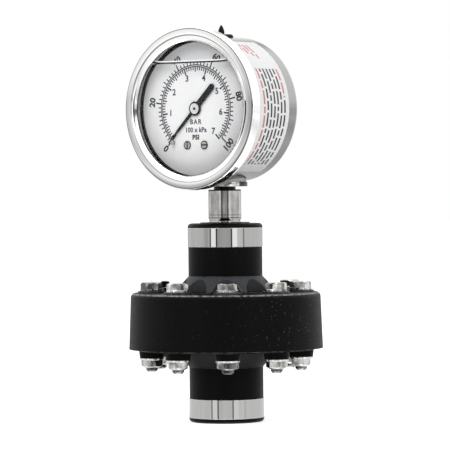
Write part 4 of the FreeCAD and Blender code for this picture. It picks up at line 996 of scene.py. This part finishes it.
class GAUGE_OT_label(bpy.types.Operator):
    """Blank white label round the side of the case, with plain ruled lines."""

    bl_idname = "gauge.label"
    bl_label = "Stick Label"

    # Heights on the label: its lower end is in shade.
    PAPER_TONES = ((-31.0, 0.72), (-25.0, 0.8), (-17.0, 1.0), (31.0, 1.0))
    BEDDING = 0.005 * MM
    INK_HEIGHT = 0.02 * MM
    BLACK_INK = (0.008, 0.008, 0.009)
    RED_INK = (0.56, 0.2, 0.18)
    # Degrees round the label: margins of the lines, the last line's red start and black indent.
    TOP_MARGIN = 34
    END_MARGIN = 10
    RED_START = 24
    INDENT = 26
    # The short red rows at the label's upper end: their number, start, first end and step.
    SHORT_ROWS = 4
    SHORT_START = 6
    SHORT_END = 15
    SHORT_STEP = 3
    # Dashes: the shortest, the most that a longer one adds, the gap after each, and how the
    # row and the place in it make their lengths uneven.
    DASH = 3
    DASH_MORE = 8
    GAP = 1.8
    ROW_TURN = 2.3
    DASH_TURN = 1.9

    def execute(self, context):
        label = context.scene.gauge_label
        inner = CASE_RADIUS + self.BEDDING
        outer = inner + label.thickness
        mesh = bmesh.new()
        sweep_band(mesh, (inner, outer), (label.front, label.back), QUARTER_TURN - label.end,
                   label.end - label.start, LABEL_STEPS)
        paper = surface("label_paper", (0.72, 0.72, 0.73), dark=0.97, scale=700.0, rough=(0.4, 0.5),
                        bump=0.03, specular=0.4)
        shade_by(paper, gauge_place(paper)["Height"], self.PAPER_TONES)
        keep_piece("side_label", mesh, paper)
        black, red = self.rows(label)
        for name, color, lines in (("label_rules", self.BLACK_INK, black),
                                   ("label_rule_red", self.RED_INK, red)):
            mesh = bmesh.new()
            for row, first, last in lines:
                self.rule_line(mesh, row, first, last, outer, label)
            ink = surface(name + "_ink", color, dark=0.7, scale=1800.0, rough=(0.4, 0.55))
            keep_piece(name, mesh, ink)
        return {"FINISHED"}

    def rows(self, label):
        """Row number, start and end of each black and each red line."""
        top = label.start + math.radians(self.TOP_MARGIN)
        end = label.end - math.radians(self.END_MARGIN)
        last_row = label.rules - 1
        black = [(row, top, end) for row in range(last_row)]
        black.append((last_row, top + math.radians(self.INDENT), end))
        red = [(-1, top, end), (last_row, top, top + math.radians(self.RED_START))]
        for row in range(self.SHORT_ROWS):
            first = label.start + math.radians(self.SHORT_START)
            last = label.start + math.radians(self.SHORT_END + self.SHORT_STEP * row)
            red.append((row - 1, first, last))
        return black, red

    def rule_line(self, mesh, row, first, last, radius, label):
        """One ruled line round the label, broken into dashes of uneven length."""
        depth = label.first_rule + label.pitch * row
        radii = (radius - PRINT_SINK, radius + self.INK_HEIGHT)
        depths = (depth - label.rule / 2, depth + label.rule / 2)
        angle = first
        step = 0
        while angle < last:
            uneven = abs(math.sin(self.ROW_TURN * row + self.DASH_TURN * step))
            dash = min(math.radians(self.DASH + self.DASH_MORE * uneven), last - angle)
            sweep_band(mesh, radii, depths, QUARTER_TURN - angle - dash, dash, DASH_STEPS)
            angle += dash + math.radians(self.GAP)
            step += 1


# Walls of the room as metal shows them: bearing from the camera in degrees, and tone.
ROOM_WALLS = (
    (-180, 0.8), (-168, 0.3), (-155, 0.9), (-127, 1.05), (-126.3, 0.02), (-120.7, 0.02),
    (-120, 1.05), (-75, 1.05), (-58, 0.7), (-49, 1.0), (-47.5, 0.03), (-44.5, 0.03), (-43.5, 1.9),
    (-29, 1.9), (-28.3, 0.03), (-25.3, 0.03), (-24.5, 0.66), (0, 0.8), (17, 0.7), (17.8, 0.01),
    (21, 0.01), (22, 1.9), (36.5, 1.9), (38, 1.2), (56, 1.15), (57, 0.4), (60.5, 0.4), (61.5, 1.1),
    (120, 1.1), (155, 0.9), (168, 0.4), (180, 0.8))
# The same from floor to roof: rise of the direction, and tone.
FLOOR_TO_ROOF = (
    (-1.0, 4.5), (-0.9, 4.0), (-0.8, 1.2), (-0.5, 1.2), (-0.3, 0.9), (-0.2, 1.0), (-0.13, 1.45),
    (-0.08, 1.0), (0.05, 1.0), (0.1, 1.5), (0.3, 1.8), (0.8, 1.9), (0.9, 4.5), (1.0, 5.0))
# Soft edges of patches in the room, from their outer to their inner ends. Near the floor, panels
# fade into white, but dark walls stay. Sloping directions see plain white, but not behind the part.
FLOOR_EDGE = (-0.035, -0.065)
FLOOR_WHITE = 0.78
PANEL_EDGE = (0.05, 0.4)
SLOPE_EDGES = ((0.16, 0.3), (0.85, 0.72))
BACK_EDGE = (150, 135)
# Low on the left, no dark wall shows. Behind the camera, the wall is dim.
LOW_EDGE = (-0.006, -0.012)
LEFT_EDGES = ((-140, -132), (-112, -116))
CAMERA_EDGE = (25, 24)
CAMERA_HEIGHTS = ((0.004, 0.014), (0.16, 0.1))
CAMERA_WALL = 0.2


def room_tones(tree, stage):
    """The room as metal shows it: panels and dark gaps round the part, as seen from the camera."""
    place = add_node(tree, "TexCoord").outputs["Generated"]
    turn = add_node(tree, "VectorRotate", {"Vector": place, "Angle": -stage.azimuth},
                    rotation_type="Z_AXIS")
    split = add_node(tree, "SeparateXYZ", {0: turn.outputs[0]}).outputs
    rise = split["Z"]
    away = value_of(tree, "MULTIPLY", split["Y"], -1.0)
    bearing = value_of(tree, "DEGREES", value_of(tree, "ARCTAN2", split["X"], away))
    aside = value_of(tree, "ABSOLUTE", bearing)
    slope = value_of(tree, "ABSOLUTE", rise)
    walls = stepped(tree, bearing, ROOM_WALLS)
    near_floor = product(tree, share_of(tree, rise, *FLOOR_EDGE, 0.0, FLOOR_WHITE),
                         within(tree, walls, PANEL_EDGE))
    sloping = product(tree, within(tree, slope, *SLOPE_EDGES), within(tree, aside, BACK_EDGE))
    low_left = product(tree, within(tree, rise, LOW_EDGE), within(tree, bearing, *LEFT_EDGES))
    plain = value_of(tree, "MAXIMUM", value_of(tree, "MAXIMUM", near_floor, sloping), low_left)
    behind_camera = product(tree, within(tree, aside, CAMERA_EDGE),
                            within(tree, rise, *CAMERA_HEIGHTS))
    tones = mixed(tree, behind_camera, mixed(tree, plain, walls, WHITE), grey(CAMERA_WALL))
    return mixed(tree, 1.0, tones, stepped(tree, rise, FLOOR_TO_ROOF), "MULTIPLY")


def studio_world(scene, stage):
    """A white room: plain ambient light, and pale panels that show in the metal."""
    world = bpy.data.worlds.new("studio")
    world.use_nodes = True
    scene.world = world
    world.cycles.sampling_method = "NONE"
    tree = world.node_tree
    tree.nodes.clear()
    path = add_node(tree, "LightPath").outputs
    seen = value_of(tree, "MAXIMUM", path["Is Camera Ray"], path["Is Transmission Ray"])
    room = add_node(tree, "Background", {"Color": WHITE, "Strength": stage.ambient})
    shine = add_node(tree, "Background", {"Color": room_tones(tree, stage), "Strength": 1.0})
    white = add_node(tree, "Background", {"Color": WHITE, "Strength": 1.0})
    lit = mixed_shader(tree, path["Is Glossy Ray"], room.outputs[0], shine.outputs[0])
    add_node(tree, "OutputWorld", {
        "Surface": mixed_shader(tree, seen, lit, white.outputs[0])})


def facing(place, target):
    """The turn of a lamp or camera that looks from a place at a target."""
    return (target - place).to_track_quat("-Z", "Y")


def soft_lamp(name, place, target, size, power):
    """A large square lamp that faces the part."""
    light = bpy.data.lights.new(name, "AREA")
    light.size = size
    light.energy = power
    lamp = bpy.data.objects.new(name, light)
    lamp.location = place
    lamp.rotation_euler = facing(place, target).to_euler()
    lamp.visible_glossy = False
    bpy.context.scene.collection.objects.link(lamp)


class GAUGE_OT_stage(bpy.types.Operator):
    """Camera, floor, room and lamps."""

    bl_idname = "gauge.stage"
    bl_label = "Set Stage"

    SENSOR_WIDTH = 36.0
    # Lamps: distance towards the camera, to its right and over the floor, and share of the power.
    LAMPS = (("key_lamp", 0.9, -0.8, 1.1, 1.0), ("fill_lamp", 0.9, 0.9, 0.7, 0.5))
    LAMP_SIZE = 0.9
    FLOOR_REACH = 6.0
    FLOOR_PARTS = 4
    FLOOR_GLOW = 0.55

    def execute(self, context):
        scene = context.scene
        stage = scene.gauge_stage
        scene.view_settings.view_transform = "Standard"
        studio_world(scene, stage)
        side = Vector((math.cos(stage.azimuth), math.sin(stage.azimuth), 0.0))
        towards = Vector((math.sin(stage.azimuth), -math.cos(stage.azimuth), 0.0))
        aim = Vector((0.0, 0.0, stage.aim))
        self.place_camera(scene, stage, towards * stage.distance, aim)
        for name, ahead, right, up, share in self.LAMPS:
            place = towards * ahead + side * right + Vector((0, 0, up))
            soft_lamp(name, place, aim, self.LAMP_SIZE, stage.key * share)
        mesh = bmesh.new()
        bmesh.ops.create_grid(mesh, x_segments=self.FLOOR_PARTS, y_segments=self.FLOOR_PARTS,
                              size=self.FLOOR_REACH)
        data = bpy.data.meshes.new("floor")
        mesh.to_mesh(data)
        mesh.free()
        data.materials.append(self.pale_floor())
        floor = bpy.data.objects.new("floor", data)
        scene.collection.objects.link(floor)
        floor.visible_glossy = False
        return {"FINISHED"}

    def place_camera(self, scene, stage, place, aim):
        """The camera at its height over a place on the floor, looking at the part."""
        view = bpy.data.cameras.new("studio_camera")
        view.lens = stage.lens
        view.sensor_width = self.SENSOR_WIDTH
        camera = bpy.data.objects.new("studio_camera", view)
        place = place + Vector((0.0, 0.0, stage.height))
        turn = facing(place, aim).to_matrix().to_4x4() @ Matrix.Rotation(stage.roll, 4, "Z")
        camera.matrix_world = Matrix.Translation(place) @ turn
        scene.collection.objects.link(camera)
        scene.camera = camera

    def pale_floor(self):
        """A matt floor that the camera and the metal see as white, and that keeps the shadow."""
        material, tree, shader = blank_material("pale_floor")
        tone = mottled(tree, scale=3.0, contrast=1.0, light=grey(0.92), dark=grey(0.9))
        feed(tree, shader, {
            "Base Color": tone["Color"], "Roughness": 0.9, "Specular IOR Level": 0.1})
        path = add_node(tree, "LightPath").outputs
        seen = value_of(tree, "MAXIMUM", path["Is Camera Ray"], path["Is Glossy Ray"])
        glow = add_node(tree, "Emission", {
            "Color": WHITE, "Strength": value_of(tree, "MULTIPLY", seen, self.FLOOR_GLOW)})
        both = add_node(tree, "AddShader", {0: shader.outputs[0], 1: glow.outputs[0]})
        feed(tree, tree.nodes["Material Output"], {"Surface": both.outputs[0]})
        return material


OPERATORS = (
    GAUGE_OT_housings, GAUGE_OT_rings, GAUGE_OT_fasteners, GAUGE_OT_socket, GAUGE_OT_case,
    GAUGE_OT_window, GAUGE_OT_dial, GAUGE_OT_pointer, GAUGE_OT_movement, GAUGE_OT_psi_scale,
    GAUGE_OT_bar_scale, GAUGE_OT_liquid, GAUGE_OT_label, GAUGE_OT_stage)

SETTINGS = (
    ("gauge_finish", GaugeFinishSettings), ("gauge_dial", GaugeDialSettings),
    ("gauge_fill", GaugeFillSettings), ("gauge_label", GaugeLabelSettings),
    ("gauge_stage", GaugeStageSettings))


class GAUGE_PT_pieces(bpy.types.Panel):
    """Lists the gauge's pieces and its settings."""

    bl_idname = "GAUGE_PT_pieces"
    bl_label = "Pressure Gauge"
    bl_space_type = "VIEW_3D"
    bl_region_type = "UI"
    bl_category = "Gauge"

    def draw(self, context):
        for operator in OPERATORS:
            self.layout.operator(operator.bl_idname)
        for name, kind in SETTINGS:
            box = self.layout.box()
            for prop in kind.__annotations__:
                box.prop(getattr(context.scene, name), prop)


def register():
    for name, kind in SETTINGS:
        bpy.utils.register_class(kind)
        setattr(bpy.types.Scene, name, bpy.props.PointerProperty(type=kind))
    for operator in OPERATORS:
        bpy.utils.register_class(operator)
    bpy.utils.register_class(GAUGE_PT_pieces)


def unregister():
    bpy.utils.unregister_class(GAUGE_PT_pieces)
    for operator in reversed(OPERATORS):
        bpy.utils.unregister_class(operator)
    for name, kind in reversed(SETTINGS):
        delattr(bpy.types.Scene, name)
        bpy.utils.unregister_class(kind)


def main():
    register()
    for operator in OPERATORS:
        group, name = operator.bl_idname.split(".")
        getattr(getattr(bpy.ops, group), name)()


if __name__ == "__main__":
    main()
